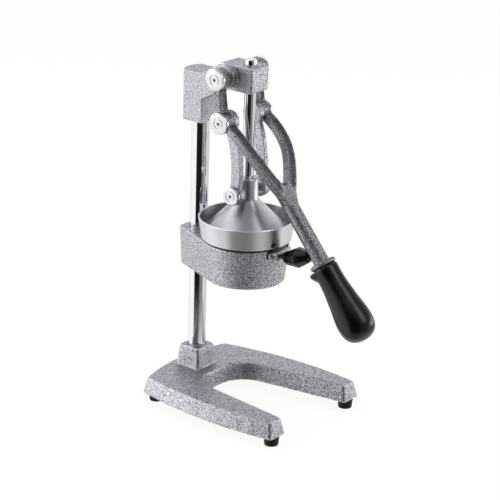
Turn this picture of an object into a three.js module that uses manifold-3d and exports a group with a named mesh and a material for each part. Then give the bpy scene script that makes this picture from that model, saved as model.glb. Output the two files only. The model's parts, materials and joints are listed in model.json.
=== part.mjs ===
// Lever citrus press: a cast horseshoe base, a steel column, a cast head with a guided rod, a fork lever
// with two crescent links, a press cup, and a bowl holder with a strainer and a funnel.
// Millimetres, +Z up, front towards -Y. The pieces are drawn with the guide rod's axis at x = 0, y = 0 and the
// feet on z = 0, and the whole press is then moved along y so that its footprint is centred.

import * as THREE from 'three';
import { mergeVertices } from 'three/addons/utils/BufferGeometryUtils.js';
import Module from 'manifold-3d';

const wasm = await Module();
wasm.setup();

// Fits and facets
const GAP = 0.3;
const RUNNING_GAP = 0.35;
const OVERRUN = 2;
const BITE = 1;
const MERGE_TOLERANCE = 1e-4;
const FACETS = 32;
const SMALL_FACETS = 14;
const CORNER_STEPS = 4;
const ARCH_STEPS = 9;
const BOW_STEPS = 7;

// How far the whole press moves along y to centre its footprint
const FOOTPRINT_SHIFT = 41.5;

// Feet and their screws
const FOOT_HEIGHT = 12;
const FOOT_TOP_RADIUS = 9.4;
const FOOT_BOTTOM_RADIUS = 8.4;
const FOOT_RECESS_RADIUS = 4.6;
const FOOT_RECESS_DEPTH = 5;
const FRONT_FOOT_INSET = 9.7;
const FRONT_FOOT_SETBACK = 5.2;
const REAR_FOOT_INSET = 10.9;
const REAR_FOOT_SETBACK = 4.8;
const FOOT_SCREW_RADIUS = 2;
const FOOT_SCREW_REACH = 11;
const FOOT_SCREW_HEAD_RADIUS = 3.8;
const FOOT_SCREW_HEAD_HEIGHT = 2.6;

// Base casting
const BASE_THICKNESS = 20.5;
const BASE_DRAFT = 4.3;
const BASE_EDGE = 1;
const TOE_HALF_WIDTH = 83.2;
const TOE_WIDTH = 20;
const TOE_REACH = 107.7;
const REAR_HALF_WIDTH = 73.9;
const REAR_REACH = 88.8;
const SIDE_BOW = 10.7;
const REAR_BOW = 12;
const ARCH_HALF_WIDTH = 42.5;
const ARCH_Y = 41;
const ARCH_RADIUS = 35;
const TOE_CORNER = 3;
const REAR_CORNER = 5;
const BOSS_FOOT_HALF = 18.4;
const BOSS_TOP_HALF = 15.5;
const BOSS_HEIGHT = 26.1;
const BOSS_CORNER = 3;
const SOCKET_WEB = 4;
const BOLT_WELL_DEPTH = 11;

// Column and the bolt that holds it from below
const COLUMN_RADIUS = 11.15;
const COLUMN_Y = 73.4;
const COLUMN_EDGE = 0.8;
const COLUMN_TAP_DEPTH = 30;
const COLUMN_HEAD_COVER = 12;
const COLUMN_BOLT_RADIUS = 4;
const COLUMN_BOLT_REACH = 26;
const COLUMN_BOLT_HEAD_RADIUS = 6.5;
const COLUMN_BOLT_HEAD_HEIGHT = 8;
const COLUMN_BOLT_KEY_RADIUS = 3.4;
const COLUMN_WASHER_RADIUS = 8.5;
const COLUMN_WASHER_THICKNESS = 1.6;

// Linkage: pivot A on the head, B between lever and link, C on the press cup, all in the y-z plane
const PIVOT_A_Y = 19;
const PIVOT_A_DROP = 14.2;
const PIVOT_B_Y = 12;
const PIVOT_B_DROP = 51.2;
const PIVOT_C_DROP = 88.4;
const LUG_INNER = 11;
const LUG_THICKNESS = 8.2;
const LINK_THICKNESS = 8.2;
const LEVER_EYE_WIDTH = 11;

// Head casting; everything above the base hangs from the height of its top
const HEAD_TOP_Z = 426.8;
const HEAD_HALF_WIDTH = 16.5;
const HEAD_REAR_STEP = 18;
const HEAD_REAR_HEIGHT = 61.8;
const HEAD_REAR_HALF_DEPTH = 14.3;
const HEAD_REAR_BOW = 6;
const HEAD_ARM_HEIGHT = 30.8;
const HEAD_ARM_FRONT = 14.8;
const HEAD_TOP_BACK_Y = 31;
const HEAD_WEB_FRONT_Y = 24;
const HEAD_WEB_DROP = 19.3;
const HEAD_CORNER = 2.5;
const HEAD_BOSS_RADIUS = 13;
const HEAD_BOSS_LENGTH = 6.8;
const SPACER_RADIUS = 11.8;

// Pivot bolts
const PIVOT_BOLT_RADIUS = 4.6;
const PIVOT_BOLT_HEAD_RADIUS = 13.2;
const PIVOT_BOLT_HEAD_THICKNESS = 4.4;
const PIVOT_BOLT_END_X = 10;
const LOWER_BOLT_RADIUS = 4;
const LOWER_BOLT_HEAD_RADIUS = 11.5;
const LOWER_BOLT_HEAD_THICKNESS = 5.3;
const LOWER_BOLT_END_X = 12.2;
const BOLT_EDGE = 0.8;
const BOLT_RING_RADIUS = 5.6;
const BOLT_RING_WIDTH = 0.7;
const BOLT_RING_DEPTH = 0.5;
const BOLT_KEY_RADIUS = 2.1;
const BOLT_KEY_DEPTH = 2.6;
const BOLT_KEY_SIDES = 6;

// Guide rod and its screw
const ROD_RADIUS = 6.95;
const ROD_STANDOUT = 6.6;
const ROD_EDGE = 0.7;
const ROD_SCREW_RADIUS = 3;
const ROD_SCREW_REACH = 16;
const ROD_SCREW_HEAD_RADIUS = 5.5;
const ROD_SCREW_HEAD_HEIGHT = 3.4;

// Press cup
const CUP_RING_GAP = 2.4;
const CUP_HEIGHT = 25.8;
const CUP_RIM_RADIUS = 58;
const CUP_FLARE = 3.6;
const CUP_LIP = 2;
const CUP_WALL = 3.6;
const CUP_DISH_MARGIN = 3.9;
const CUP_CONE_FOOT = 11.5;
const CUP_TUBE_RADIUS = 12.75;
const CUP_TUBE_RISE = 16.7;
const CUP_CONE_DROP = 8.8;
const CUP_BELL_HEIGHT = 48.8;
const CUP_ROD_FLOOR = 4.5;
const CUP_CONE_WALL = 5.5;
const LUG_RADIUS = 13;
const DRAIN_RADIUS = 3.3;
const DRAIN_HEIGHT = 5.2;
const DRAIN_TURN = -17;

// Crescent links
const LINK_WIDTH = 13.6;
const LINK_BOW = 7.3;
const LINK_EYE_B_RADIUS = 13;
const LINK_EYE_C_RADIUS = 12;
const LINK_PAD = 0.6;
const LINK_TAP_DEPTH = 6;

// Fork lever: the arms run along the lever's own -Y from pivot B, and its +Z is the recessed front face
const LEVER_SLOPE = 51.5;
const LEVER_EYE_RADIUS = 13;
const LEVER_BAR_WIDTH = 13.4;
const LEVER_BAR_THICKNESS = 9.8;
const LEVER_BAR_FLARE = 2.5;
const LEVER_FLARE_FROM = 0.5;
const CHANNEL_WIDTH = 9.6;
const CHANNEL_DEPTH = 1.8;
const SHAFT_RADIUS = 9.6;
const SHAFT_RISE = 1.3;
const SHAFT_START = 100;
const SHAFT_END = 195.8;
const SHAFT_TILT = 1.1;
const COLLAR_RADIUS = 16.2;
const COLLAR_THICKNESS = 6;
const TANG_RADIUS = 6;
const TANG_LENGTH = 62;
const FORK_STATIONS = 18;
const FORK_SPREAD = 35;
const FORK_LENGTH = 119;
const FORK_RISE = 12.7;
// Shares of the fork's length, spread and rise at which each arm's centre line passes
const FORK_PATH_SHARES = [
  [0, 0.997, 0],
  [0.081, 0.997, 0.42],
  [0.18, 1, 0.72],
  [0.33, 0.975, 0.96],
  [0.486, 0.87, 1],
  [0.627, 0.68, 0.85],
  [0.77, 0.42, 0.6],
  [0.9, 0.15, 0.37],
  [1, 0.03, 0.28],
];
const ARM_CHANNEL_SHARES = [0.13, 0.82];
const BAR_CHANNEL_SHARES = [0.29, 0.73];

// Lever grip, a turned bulb: radii as shares of the bulb, places as shares of its length
const GRIP_LENGTH = 97.5;
const GRIP_RADIUS = 22.1;
const GRIP_PROFILE_SHARES = [
  [0.6, 0],
  [0.7, 0.012],
  [0.717, 0.04],
  [0.7, 0.1],
  [0.705, 0.18],
  [0.735, 0.28],
  [0.785, 0.37],
  [0.845, 0.48],
  [0.93, 0.59],
  [0.985, 0.68],
  [1, 0.76],
  [0.965, 0.84],
  [0.86, 0.905],
  [0.65, 0.957],
  [0.36, 0.99],
];
const GRIP_STOP_REACH = 6.6;
const GRIP_STOP_START = 0.8;
const GRIP_STOP_LENGTH = 4.6;
const GRIP_STOP_FADE = 13;

// Bowl holder
const HOLDER_HEIGHT = 48.3;
const HOLDER_TOP_RADIUS = 52.4;
const HOLDER_DRAFT = 5;
const HOLDER_WALL = 4;
const HOLDER_REAR_HALF = 15.5;
const HOLDER_REAR_Y = 91;
const HOLDER_REAR_DRAFT = 1.6;
const HOLDER_LEDGE_DEPTH = 13;
const HOLDER_LEDGE = 3.2;
const HOLDER_THROAT_RADIUS = 41;
const NOTCH_HALF_WIDTH = 20.5;
const NOTCH_DEPTH = 10;

// Set screws that clamp the head and the holder to the column
const SET_SCREW_RADIUS = 4;
const SET_SCREW_LENGTH = 9;
const SET_SCREW_KEY_RADIUS = 2.3;
const SET_SCREW_KEY_DEPTH = 4;

// Funnel
const FUNNEL_WALL = 1.5;
const FUNNEL_FLANGE = 4;
const FUNNEL_OUTLET_RADIUS = 11;
const FUNNEL_CONE_DEPTH = 27;
const FUNNEL_OUTLET_LENGTH = 15;

// Strainer with its side arm, and the reamer that stands in it
const STRAINER_FLANGE = 3;
const STRAINER_RIM_HEIGHT = 8.4;
const STRAINER_RIM_WALL = 2.2;
const REAMER_RADIUS = 33;
const REAMER_HEIGHT = 44;
const REAMER_RIDGES = 12;
const REAMER_RIDGE_SHARE = 0.1;
const REAMER_WALL = 3;
const REAMER_SPIGOT_WALL = 2;
const REAMER_PROFILE_SHARES = [
  [1, 0],
  [0.93, 0.18],
  [0.8, 0.42],
  [0.6, 0.68],
  [0.36, 0.88],
  [0.12, 0.985],
];
const SLOT_COUNT = 20;
const SLOT_HALF_WIDTH = 1.5;
const SLOT_LENGTH = 6.5;
const ARM_HALF_WIDTH = 19.5;
const ARM_NECK_HALF_WIDTH = 9;
const ARM_REACH = 57.5;
const ARM_DROP = 8;
const ARM_EDGE = 2;

// Side handle on the strainer's arm
const SIDE_GRIP_TILT = 16;
const SIDE_GRIP_RISE = 2.5;
const SIDE_GRIP_CLEARANCE = 3.6;
const SIDE_GRIP_RADIUS = 12.7;
const SIDE_GRIP_SIDES = 8;
const SIDE_GRIP_PROFILE_SHARES = [
  [0.5, 0],
  [0.64, 0.06],
  [1, 0.57],
  [0.58, 0.95],
  [0.46, 1],
];
const SIDE_TANG_RADIUS = 4;
const SIDE_TANG_LENGTH = 20;
const SIDE_SCREW_RADIUS = 2;
const SIDE_SCREW_HEAD_RADIUS = 3.6;
const SIDE_SCREW_HEAD_HEIGHT = 2.4;
const SIDE_SCREW_REACH = 8;

// Heights and planes that follow from the sizes above
const baseTopZ = FOOT_HEIGHT + BASE_THICKNESS;
const bossTopZ = baseTopZ + BOSS_HEIGHT;
const boltWellZ = FOOT_HEIGHT + BOLT_WELL_DEPTH;
const socketFloorZ = boltWellZ + SOCKET_WEB;
const headRearTopZ = HEAD_TOP_Z - HEAD_REAR_STEP;
const headRearBottomZ = headRearTopZ - HEAD_REAR_HEIGHT;
const headArmBottomZ = HEAD_TOP_Z - HEAD_ARM_HEIGHT;
const pivotAZ = HEAD_TOP_Z - PIVOT_A_DROP;
const pivotBZ = pivotAZ - PIVOT_B_DROP;
const pivotCZ = pivotBZ - PIVOT_C_DROP;
const rodTopZ = HEAD_TOP_Z + ROD_STANDOUT;
const rodSeatZ = pivotCZ - CUP_CONE_DROP;
const cupTubeTopZ = pivotCZ + CUP_TUBE_RISE;
const cupBottomZ = rodSeatZ - CUP_BELL_HEIGHT;
const cupRimZ = cupBottomZ + CUP_HEIGHT;
const cupFootRadius = CUP_RIM_RADIUS - CUP_FLARE;
const cupConeRadius = cupFootRadius - CUP_DISH_MARGIN;
const cupConeFootZ = cupBottomZ + CUP_CONE_FOOT;
const holderTopZ = cupBottomZ - CUP_RING_GAP;
const holderBottomZ = holderTopZ - HOLDER_HEIGHT;
const ledgeZ = holderTopZ - HOLDER_LEDGE_DEPTH;
const notchZ = holderTopZ - NOTCH_DEPTH;
const sideGripZ = ledgeZ + SIDE_GRIP_RISE;
const funnelNeckZ = ledgeZ - FUNNEL_CONE_DEPTH;
const funnelOutletZ = funnelNeckZ - FUNNEL_OUTLET_LENGTH;
const linkInnerX = LUG_INNER + LUG_THICKNESS + GAP;
const linkOuterX = linkInnerX + LINK_THICKNESS;
const leverInnerX = linkOuterX + GAP;
const leverEyeOuterX = leverInnerX + LEVER_EYE_WIDTH;
const headBossX = HEAD_HALF_WIDTH + HEAD_BOSS_LENGTH;
const insideRadius = HOLDER_TOP_RADIUS - HOLDER_WALL;
const filletRadius = HEAD_CORNER;
const sides = { left: -1, right: 1 };

// Colours of the finishes
const finishes = {
  hammertone: { color: 0xa4a6ad, roughness: 0.42, metalness: 0.55 },
  chrome: { color: 0xe4e6ea, roughness: 0.08, metalness: 1 },
  brushed: { color: 0xb9bcc1, roughness: 0.32, metalness: 1 },
  steel: { color: 0x9da0a5, roughness: 0.35, metalness: 1 },
  rubber: { color: 0x17171a, roughness: 0.85, metalness: 0 },
  plastic: { color: 0x0e0e10, roughness: 0.38, metalness: 0 },
};

// Solids

function solid(geometry) {
  const bare = geometry.clone();
  bare.deleteAttribute('normal');
  bare.deleteAttribute('uv');
  const merged = mergeVertices(bare, MERGE_TOLERANCE);
  const positions = merged.getAttribute('position').array;
  const index = merged.index.array;
  const triangles = [];
  let volume = 0;
  const corner = (i) => new THREE.Vector3().fromArray(positions, i * 3);
  for (let i = 0; i < index.length; i += 3) {
    const [a, b, c] = [index[i], index[i + 1], index[i + 2]];
    if (a === b || b === c || c === a) continue;
    triangles.push([a, b, c]);
    volume += corner(a).dot(corner(b).cross(corner(c)));
  }
  const facing = volume < 0 ? triangles.map(([a, b, c]) => [a, c, b]) : triangles;
  return new wasm.Manifold(
    new wasm.Mesh({
      numProp: 3,
      vertProperties: new Float32Array(positions),
      triVerts: new Uint32Array(facing.flat()),
    }),
  );
}

function geometryOf(manifold) {
  const mesh = manifold.getMesh();
  const geometry = new THREE.BufferGeometry();
  geometry.setAttribute('position', new THREE.BufferAttribute(mesh.vertProperties.slice(), 3));
  geometry.setIndex(new THREE.BufferAttribute(mesh.triVerts.slice(), 1));
  geometry.computeVertexNormals();
  return geometry;
}

function joined(...solids) {
  return solids.reduce((whole, next) => whole.add(next));
}

function cut(body, ...tools) {
  return tools.reduce((whole, tool) => whole.subtract(tool), body);
}

// Matrices that turn a shape's own +Y or its extrusion axis to the named axis
const lathe = {
  x: new THREE.Matrix4().makeRotationZ(-Math.PI / 2),
  y: new THREE.Matrix4(),
  z: new THREE.Matrix4().makeRotationX(Math.PI / 2),
};
const unit = { x: new THREE.Vector3(1, 0, 0), y: new THREE.Vector3(0, 1, 0), z: new THREE.Vector3(0, 0, 1) };
const extrusion = {
  x: new THREE.Matrix4().makeBasis(unit.y, unit.z, unit.x),
  z: new THREE.Matrix4(),
};

// A cylinder along an axis, from one coordinate to another; a and b are its other two coordinates
function rod(axis, radius, from, to, a = 0, b = 0, facets = SMALL_FACETS) {
  const geometry = new THREE.CylinderGeometry(radius, radius, Math.abs(to - from), facets);
  geometry.applyMatrix4(lathe[axis]);
  const middle = (from + to) / 2;
  const place = { x: [middle, a, b], y: [a, middle, b], z: [a, b, middle] }[axis];
  return solid(geometry.translate(...place));
}

// A turned shape: its profile is a list of [radius, distance along the axis]
function turned(axis, profile, facets = FACETS) {
  const points = profile.map(([radius, along]) => new THREE.Vector2(radius, along));
  return solid(new THREE.LatheGeometry(points, facets).applyMatrix4(lathe[axis]));
}

// A closed turned shape that keeps clear of the axis
function turnedRing(axis, profile, facets = FACETS) {
  return turned(axis, [...profile, profile[0]], facets);
}

// An outline pushed along x (outline in y, z) or z (outline in x, y)
function prism(axis, outline, from, to) {
  const options = { depth: Math.abs(to - from), bevelEnabled: false, steps: 1 };
  const geometry = new THREE.ExtrudeGeometry(new THREE.Shape(outline), options);
  geometry.translate(0, 0, Math.min(from, to)).applyMatrix4(extrusion[axis]);
  return solid(geometry);
}

function box(x, y, z) {
  const geometry = new THREE.BoxGeometry(x[1] - x[0], y[1] - y[0], z[1] - z[0]);
  return solid(geometry.translate((x[0] + x[1]) / 2, (y[0] + y[1]) / 2, (z[0] + z[1]) / 2));
}

// A skin through sections, each an outline with its placing matrix, closed by flat ends
function loft(sections) {
  const count = sections[0].outline.length;
  const positions = sections.flatMap(({ outline, place }) =>
    outline.flatMap((p) => new THREE.Vector3(p.x, p.y, 0).applyMatrix4(place).toArray()),
  );
  const index = [];
  for (let ring = 0; ring < sections.length - 1; ring += 1) {
    for (let i = 0; i < count; i += 1) {
      const a = ring * count + i;
      const b = ring * count + ((i + 1) % count);
      index.push(a, b, b + count, a, b + count, a + count);
    }
  }
  const last = (sections.length - 1) * count;
  for (const [a, b, c] of THREE.ShapeUtils.triangulateShape(sections[0].outline, [])) index.push(a, c, b);
  for (const [a, b, c] of THREE.ShapeUtils.triangulateShape(sections.at(-1).outline, [])) {
    index.push(last + a, last + b, last + c);
  }
  const geometry = new THREE.BufferGeometry();
  geometry.setAttribute('position', new THREE.Float32BufferAttribute(positions, 3));
  geometry.setIndex(index);
  return solid(geometry);
}

function level(outline, z) {
  return { outline, place: new THREE.Matrix4().makeTranslation(0, 0, z) };
}

// A section standing across the y axis: its x stays x, its y becomes z
function across(outline, y) {
  const place = new THREE.Matrix4().makeBasis(unit.x, unit.z, unit.y.clone().negate()).setPosition(0, y, 0);
  return { outline, place };
}

// Outlines

function arcPoints(x, y, radius, from, to, steps) {
  return Array.from({ length: steps + 1 }, (_, i) => {
    const angle = from + ((to - from) * i) / steps;
    return new THREE.Vector2(x + radius * Math.cos(angle), y + radius * Math.sin(angle));
  });
}

// The inner points of a shallow arc that bulges by rise to the right of the way from a to b
function bow(a, b, rise, steps = BOW_STEPS) {
  const along = b.clone().sub(a);
  const outward = new THREE.Vector2(along.y, -along.x).normalize();
  return Array.from({ length: steps - 1 }, (_, i) => {
    const t = (i + 1) / steps;
    return a.clone().addScaledVector(along, t).addScaledVector(outward, rise * 4 * t * (1 - t));
  });
}

// Corners are [point, radius, steps]; each corner with a radius becomes an arc
function rounded(corners, cornerSteps = CORNER_STEPS) {
  return corners.flatMap(([point, radius, steps = cornerSteps], i) => {
    if (!radius) return [point];
    const before = corners.at(i - 1)[0].clone().sub(point).normalize();
    const after = corners[(i + 1) % corners.length][0].clone().sub(point).normalize();
    const half = Math.acos(THREE.MathUtils.clamp(before.dot(after), -1, 1)) / 2;
    const reach = radius / Math.tan(half);
    const start = point.clone().addScaledVector(before, reach);
    const end = point.clone().addScaledVector(after, reach);
    const centre = before.clone().add(after).normalize().multiplyScalar(radius / Math.sin(half)).add(point);
    const from = start.clone().sub(centre).angle();
    const sweep = end.clone().sub(centre).angle() - from;
    const turn = sweep > Math.PI ? sweep - 2 * Math.PI : sweep < -Math.PI ? sweep + 2 * Math.PI : sweep;
    return arcPoints(centre.x, centre.y, radius, from, from + turn, steps);
  });
}

const at = (x, y) => new THREE.Vector2(x, y);

function rectangle(halfWidth, bottom, top, radius, steps = CORNER_STEPS) {
  const corners = [at(-halfWidth, bottom), at(halfWidth, bottom), at(halfWidth, top), at(-halfWidth, top)];
  return rounded(corners.map((point) => [point, radius]), steps);
}

function polygon(radius, count, turn = 0) {
  return Array.from({ length: count }, (_, i) => {
    const angle = turn + (i * 2 * Math.PI) / count;
    return at(radius * Math.cos(angle), radius * Math.sin(angle));
  });
}

// Base, feet and column

function baseOutline(grow) {
  const toe = TOE_HALF_WIDTH + grow;
  const toeInner = TOE_HALF_WIDTH - TOE_WIDTH - grow;
  const front = -TOE_REACH - grow;
  const rear = REAR_REACH + grow;
  const rearHalf = REAR_HALF_WIDTH + grow;
  const arch = ARCH_HALF_WIDTH - grow;
  const archY = ARCH_Y - grow;
  const plain = (points) => points.map((point) => [point, 0]);
  const [toeRight, rearRight] = [at(toe, front), at(rearHalf, rear)];
  const [rearLeft, toeLeft] = [at(-rearHalf, rear), at(-toe, front)];
  return rounded([
    [toeRight, TOE_CORNER],
    ...plain(bow(toeRight, rearRight, SIDE_BOW)),
    [rearRight, REAR_CORNER],
    ...plain(bow(rearRight, rearLeft, REAR_BOW)),
    [rearLeft, REAR_CORNER],
    ...plain(bow(rearLeft, toeLeft, SIDE_BOW)),
    [toeLeft, TOE_CORNER],
    [at(-toeInner, front), TOE_CORNER],
    [at(-arch, archY), ARCH_RADIUS, ARCH_STEPS],
    [at(arch, archY), ARCH_RADIUS, ARCH_STEPS],
    [at(toeInner, front), TOE_CORNER],
  ]);
}

const frontFoot = { x: TOE_HALF_WIDTH - FRONT_FOOT_INSET, y: FRONT_FOOT_SETBACK - TOE_REACH };
const rearFoot = { x: REAR_HALF_WIDTH - REAR_FOOT_INSET, y: REAR_REACH - REAR_FOOT_SETBACK };
const feet = {
  front_left: [-frontFoot.x, frontFoot.y],
  front_right: [frontFoot.x, frontFoot.y],
  rear_left: [-rearFoot.x, rearFoot.y],
  rear_right: [rearFoot.x, rearFoot.y],
};

function square(half, y) {
  return rectangle(half, y - half, y + half, BOSS_CORNER);
}

function baseCasting() {
  const slab = loft([
    level(baseOutline(BASE_DRAFT), FOOT_HEIGHT),
    level(baseOutline(0), baseTopZ - BASE_EDGE),
    level(baseOutline(-BASE_EDGE), baseTopZ),
  ]);
  const boss = loft([
    level(square(BOSS_FOOT_HALF, COLUMN_Y), baseTopZ - BITE),
    level(square(BOSS_TOP_HALF, COLUMN_Y), bossTopZ - BASE_EDGE),
    level(square(BOSS_TOP_HALF - BASE_EDGE, COLUMN_Y), bossTopZ),
  ]);
  const under = FOOT_HEIGHT - OVERRUN;
  const holes = Object.values(feet).map(([x, y]) =>
    rod('z', FOOT_SCREW_RADIUS + GAP, under, FOOT_HEIGHT + FOOT_SCREW_REACH + GAP, x, y),
  );
  return cut(
    joined(slab, boss),
    rod('z', COLUMN_RADIUS + GAP, socketFloorZ, bossTopZ + OVERRUN, 0, COLUMN_Y, FACETS),
    rod('z', COLUMN_BOLT_RADIUS + GAP, under, bossTopZ, 0, COLUMN_Y),
    rod('z', COLUMN_WASHER_RADIUS + GAP, under, boltWellZ, 0, COLUMN_Y),
    ...holes,
  );
}

function foot() {
  return turnedRing('z', [
    [FOOT_SCREW_RADIUS + GAP, FOOT_RECESS_DEPTH],
    [FOOT_RECESS_RADIUS, FOOT_RECESS_DEPTH],
    [FOOT_RECESS_RADIUS, 0],
    [FOOT_BOTTOM_RADIUS - BASE_EDGE, 0],
    [FOOT_BOTTOM_RADIUS, BASE_EDGE],
    [FOOT_TOP_RADIUS, FOOT_HEIGHT],
    [FOOT_SCREW_RADIUS + GAP, FOOT_HEIGHT],
  ], SMALL_FACETS);
}

// A screw pointing up, its head's underside at its own z = 0
function screw(radius, reach, headRadius, headHeight) {
  const body = turned('z', [
    [0, -headHeight],
    [headRadius, -headHeight],
    [headRadius, 0],
    [radius, 0],
    [radius, reach],
    [0, reach],
  ], SMALL_FACETS);
  const key = prism('z', polygon(radius, BOLT_KEY_SIDES), -headHeight - OVERRUN, -headHeight / 2);
  return cut(body, key);
}

function column() {
  const [bottom, top] = [socketFloorZ + GAP, headRearTopZ - COLUMN_HEAD_COVER];
  const tap = COLUMN_BOLT_RADIUS + GAP;
  return turned('z', [
    [0, bottom + COLUMN_TAP_DEPTH],
    [tap, bottom + COLUMN_TAP_DEPTH],
    [tap, bottom],
    [COLUMN_RADIUS - COLUMN_EDGE, bottom],
    [COLUMN_RADIUS, bottom + COLUMN_EDGE],
    [COLUMN_RADIUS, top - COLUMN_EDGE],
    [COLUMN_RADIUS - COLUMN_EDGE, top],
    [0, top],
  ]);
}

function washer(inner, outer, thickness) {
  const ring = [[inner, 0], [outer, 0], [outer, thickness], [inner, thickness]];
  return turnedRing('z', ring, SMALL_FACETS);
}

// Head

function headCasting() {
  const rearFrontY = COLUMN_Y - HEAD_REAR_HALF_DEPTH;
  const rearBackY = COLUMN_Y + HEAD_REAR_HALF_DEPTH;
  const reach = rearBackY + HEAD_REAR_BOW;
  const profile = rounded([
    [at(-HEAD_ARM_FRONT, headArmBottomZ), filletRadius],
    [at(HEAD_WEB_FRONT_Y, headArmBottomZ), 0],
    [at(rearFrontY, headArmBottomZ - HEAD_WEB_DROP), 0],
    [at(rearFrontY, headRearBottomZ), 0],
    [at(reach, headRearBottomZ), 0],
    [at(reach, headRearTopZ), 0],
    [at(rearFrontY, headRearTopZ), 0],
    [at(HEAD_TOP_BACK_Y, HEAD_TOP_Z), 0],
    [at(-HEAD_ARM_FRONT, HEAD_TOP_Z), filletRadius],
  ]);
  const half = HEAD_HALF_WIDTH;
  const [backRight, backLeft] = [at(half, rearBackY), at(-half, rearBackY)];
  const plan = rounded([
    [at(half, -HEAD_ARM_FRONT), HEAD_CORNER],
    [backRight, 0],
    ...bow(backRight, backLeft, HEAD_REAR_BOW).map((point) => [point, 0]),
    [backLeft, 0],
    [at(-half, -HEAD_ARM_FRONT), HEAD_CORNER],
  ]);
  const block = prism('x', profile, -half, half);
  const outline = prism('z', plan, headRearBottomZ - OVERRUN, HEAD_TOP_Z + OVERRUN);
  const bosses = rod('x', HEAD_BOSS_RADIUS, -headBossX, headBossX, PIVOT_A_Y, pivotAZ, FACETS);
  const tap = PIVOT_BOLT_RADIUS + GAP;
  const taps = Object.values(sides).map((side) =>
    rod('x', tap, side * (PIVOT_BOLT_END_X - GAP), side * (headBossX + OVERRUN), PIVOT_A_Y, pivotAZ),
  );
  return cut(
    joined(block.intersect(outline), bosses),
    rod('z', ROD_RADIUS + RUNNING_GAP, headArmBottomZ - OVERRUN, HEAD_TOP_Z + OVERRUN, 0, 0, FACETS),
    rod('z', COLUMN_RADIUS + GAP, headRearBottomZ - OVERRUN, columnTopZ + GAP, 0, COLUMN_Y, FACETS),
    setScrewHole(headScrewZ, reach),
    ...taps,
  );
}

// Set screws stand behind the column and point forward at it
const columnTopZ = headRearTopZ - COLUMN_HEAD_COVER;
const headScrewZ = (headRearTopZ + headRearBottomZ) / 2;
const holderScrewZ = (holderBottomZ + holderTopZ) / 2;
const setScrewY = COLUMN_Y + COLUMN_RADIUS + GAP;

function setScrewHole(z, reach) {
  return rod('y', SET_SCREW_RADIUS + GAP, COLUMN_Y, reach + OVERRUN, 0, z);
}

function setScrew() {
  const body = rod('y', SET_SCREW_RADIUS, 0, SET_SCREW_LENGTH);
  const key = new THREE.CylinderGeometry(SET_SCREW_KEY_RADIUS, SET_SCREW_KEY_RADIUS, SET_SCREW_KEY_DEPTH, BOLT_KEY_SIDES);
  key.translate(0, SET_SCREW_LENGTH, 0);
  return cut(body, solid(key));
}

// Pivot bolts lie along x with the head outside; the right-hand one is drawn and the left one mirrors it by a turn
function pivotBolt(radius, from, shoulder, headRadius, headThickness) {
  const face = shoulder + headThickness;
  const body = turned('x', [
    [0, from],
    [radius, from],
    [radius, shoulder],
    [headRadius, shoulder],
    [headRadius, face - BOLT_EDGE],
    [headRadius - BOLT_EDGE, face],
    [BOLT_RING_RADIUS + BOLT_RING_WIDTH, face],
    [BOLT_RING_RADIUS + BOLT_RING_WIDTH, face - BOLT_RING_DEPTH],
    [BOLT_RING_RADIUS, face - BOLT_RING_DEPTH],
    [BOLT_RING_RADIUS, face],
    [0, face],
  ], FACETS);
  const key = prism('x', polygon(BOLT_KEY_RADIUS, BOLT_KEY_SIDES), face - BOLT_KEY_DEPTH, face + OVERRUN);
  return cut(body, key);
}

function spacer() {
  const [inner, outer] = [PIVOT_BOLT_RADIUS + GAP, SPACER_RADIUS];
  const [from, to] = [headBossX + GAP, linkOuterX];
  return turnedRing('x', [[inner, from], [outer, from], [outer, to], [inner, to]]);
}

// Press cup

function pressCup() {
  const wall = turned('z', [
    [0, cupBottomZ],
    [cupFootRadius, cupBottomZ],
    [CUP_RIM_RADIUS, cupRimZ - BASE_EDGE],
    [CUP_RIM_RADIUS - BASE_EDGE, cupRimZ],
    [CUP_RIM_RADIUS - CUP_LIP, cupRimZ],
    [cupConeRadius + CUP_LIP, cupConeFootZ + CUP_LIP],
    [cupConeRadius, cupConeFootZ],
    [CUP_TUBE_RADIUS, rodSeatZ],
    [CUP_TUBE_RADIUS, cupTubeTopZ - BASE_EDGE],
    [CUP_TUBE_RADIUS - BASE_EDGE, cupTubeTopZ],
    [ROD_RADIUS + GAP, cupTubeTopZ],
    [ROD_RADIUS + GAP, rodSeatZ],
    [0, rodSeatZ],
  ], FACETS);
  const bellTopZ = rodSeatZ - CUP_ROD_FLOOR;
  const bell = turned('z', [
    [0, cupBottomZ - OVERRUN],
    [cupFootRadius - CUP_WALL, cupBottomZ - OVERRUN],
    [cupFootRadius - CUP_WALL, cupBottomZ],
    [cupConeRadius - CUP_WALL, cupConeFootZ - CUP_CONE_WALL],
    [CUP_TUBE_RADIUS - CUP_WALL, bellTopZ],
    [0, bellTopZ],
  ], FACETS);
  const lugOutline = [
    ...arcPoints(0, pivotCZ, LUG_RADIUS, 0, Math.PI, SMALL_FACETS / 2),
    at(-LUG_RADIUS, bellTopZ - LUG_RADIUS),
    at(LUG_RADIUS, bellTopZ - LUG_RADIUS),
  ];
  const lugOuter = LUG_INNER + LUG_THICKNESS;
  const lugs = Object.values(sides).map((side) => prism('x', lugOutline, side * LUG_INNER, side * lugOuter));
  const tap = LOWER_BOLT_RADIUS + GAP;
  const taps = Object.values(sides).map((side) =>
    rod('x', tap, side * (LOWER_BOLT_END_X - GAP), side * (lugOuter + OVERRUN), 0, pivotCZ),
  );
  const drain = rod('y', DRAIN_RADIUS, -CUP_RIM_RADIUS - OVERRUN, -cupConeRadius + CUP_WALL * 2);
  const turn = [0, 0, DRAIN_TURN];
  return cut(
    joined(wall, ...lugs),
    bell,
    rod('z', ROD_SCREW_RADIUS + GAP, bellTopZ - OVERRUN, rodSeatZ + OVERRUN),
    drain.translate([0, 0, cupBottomZ + DRAIN_HEIGHT]).rotate(turn),
    ...taps,
  );
}

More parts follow.
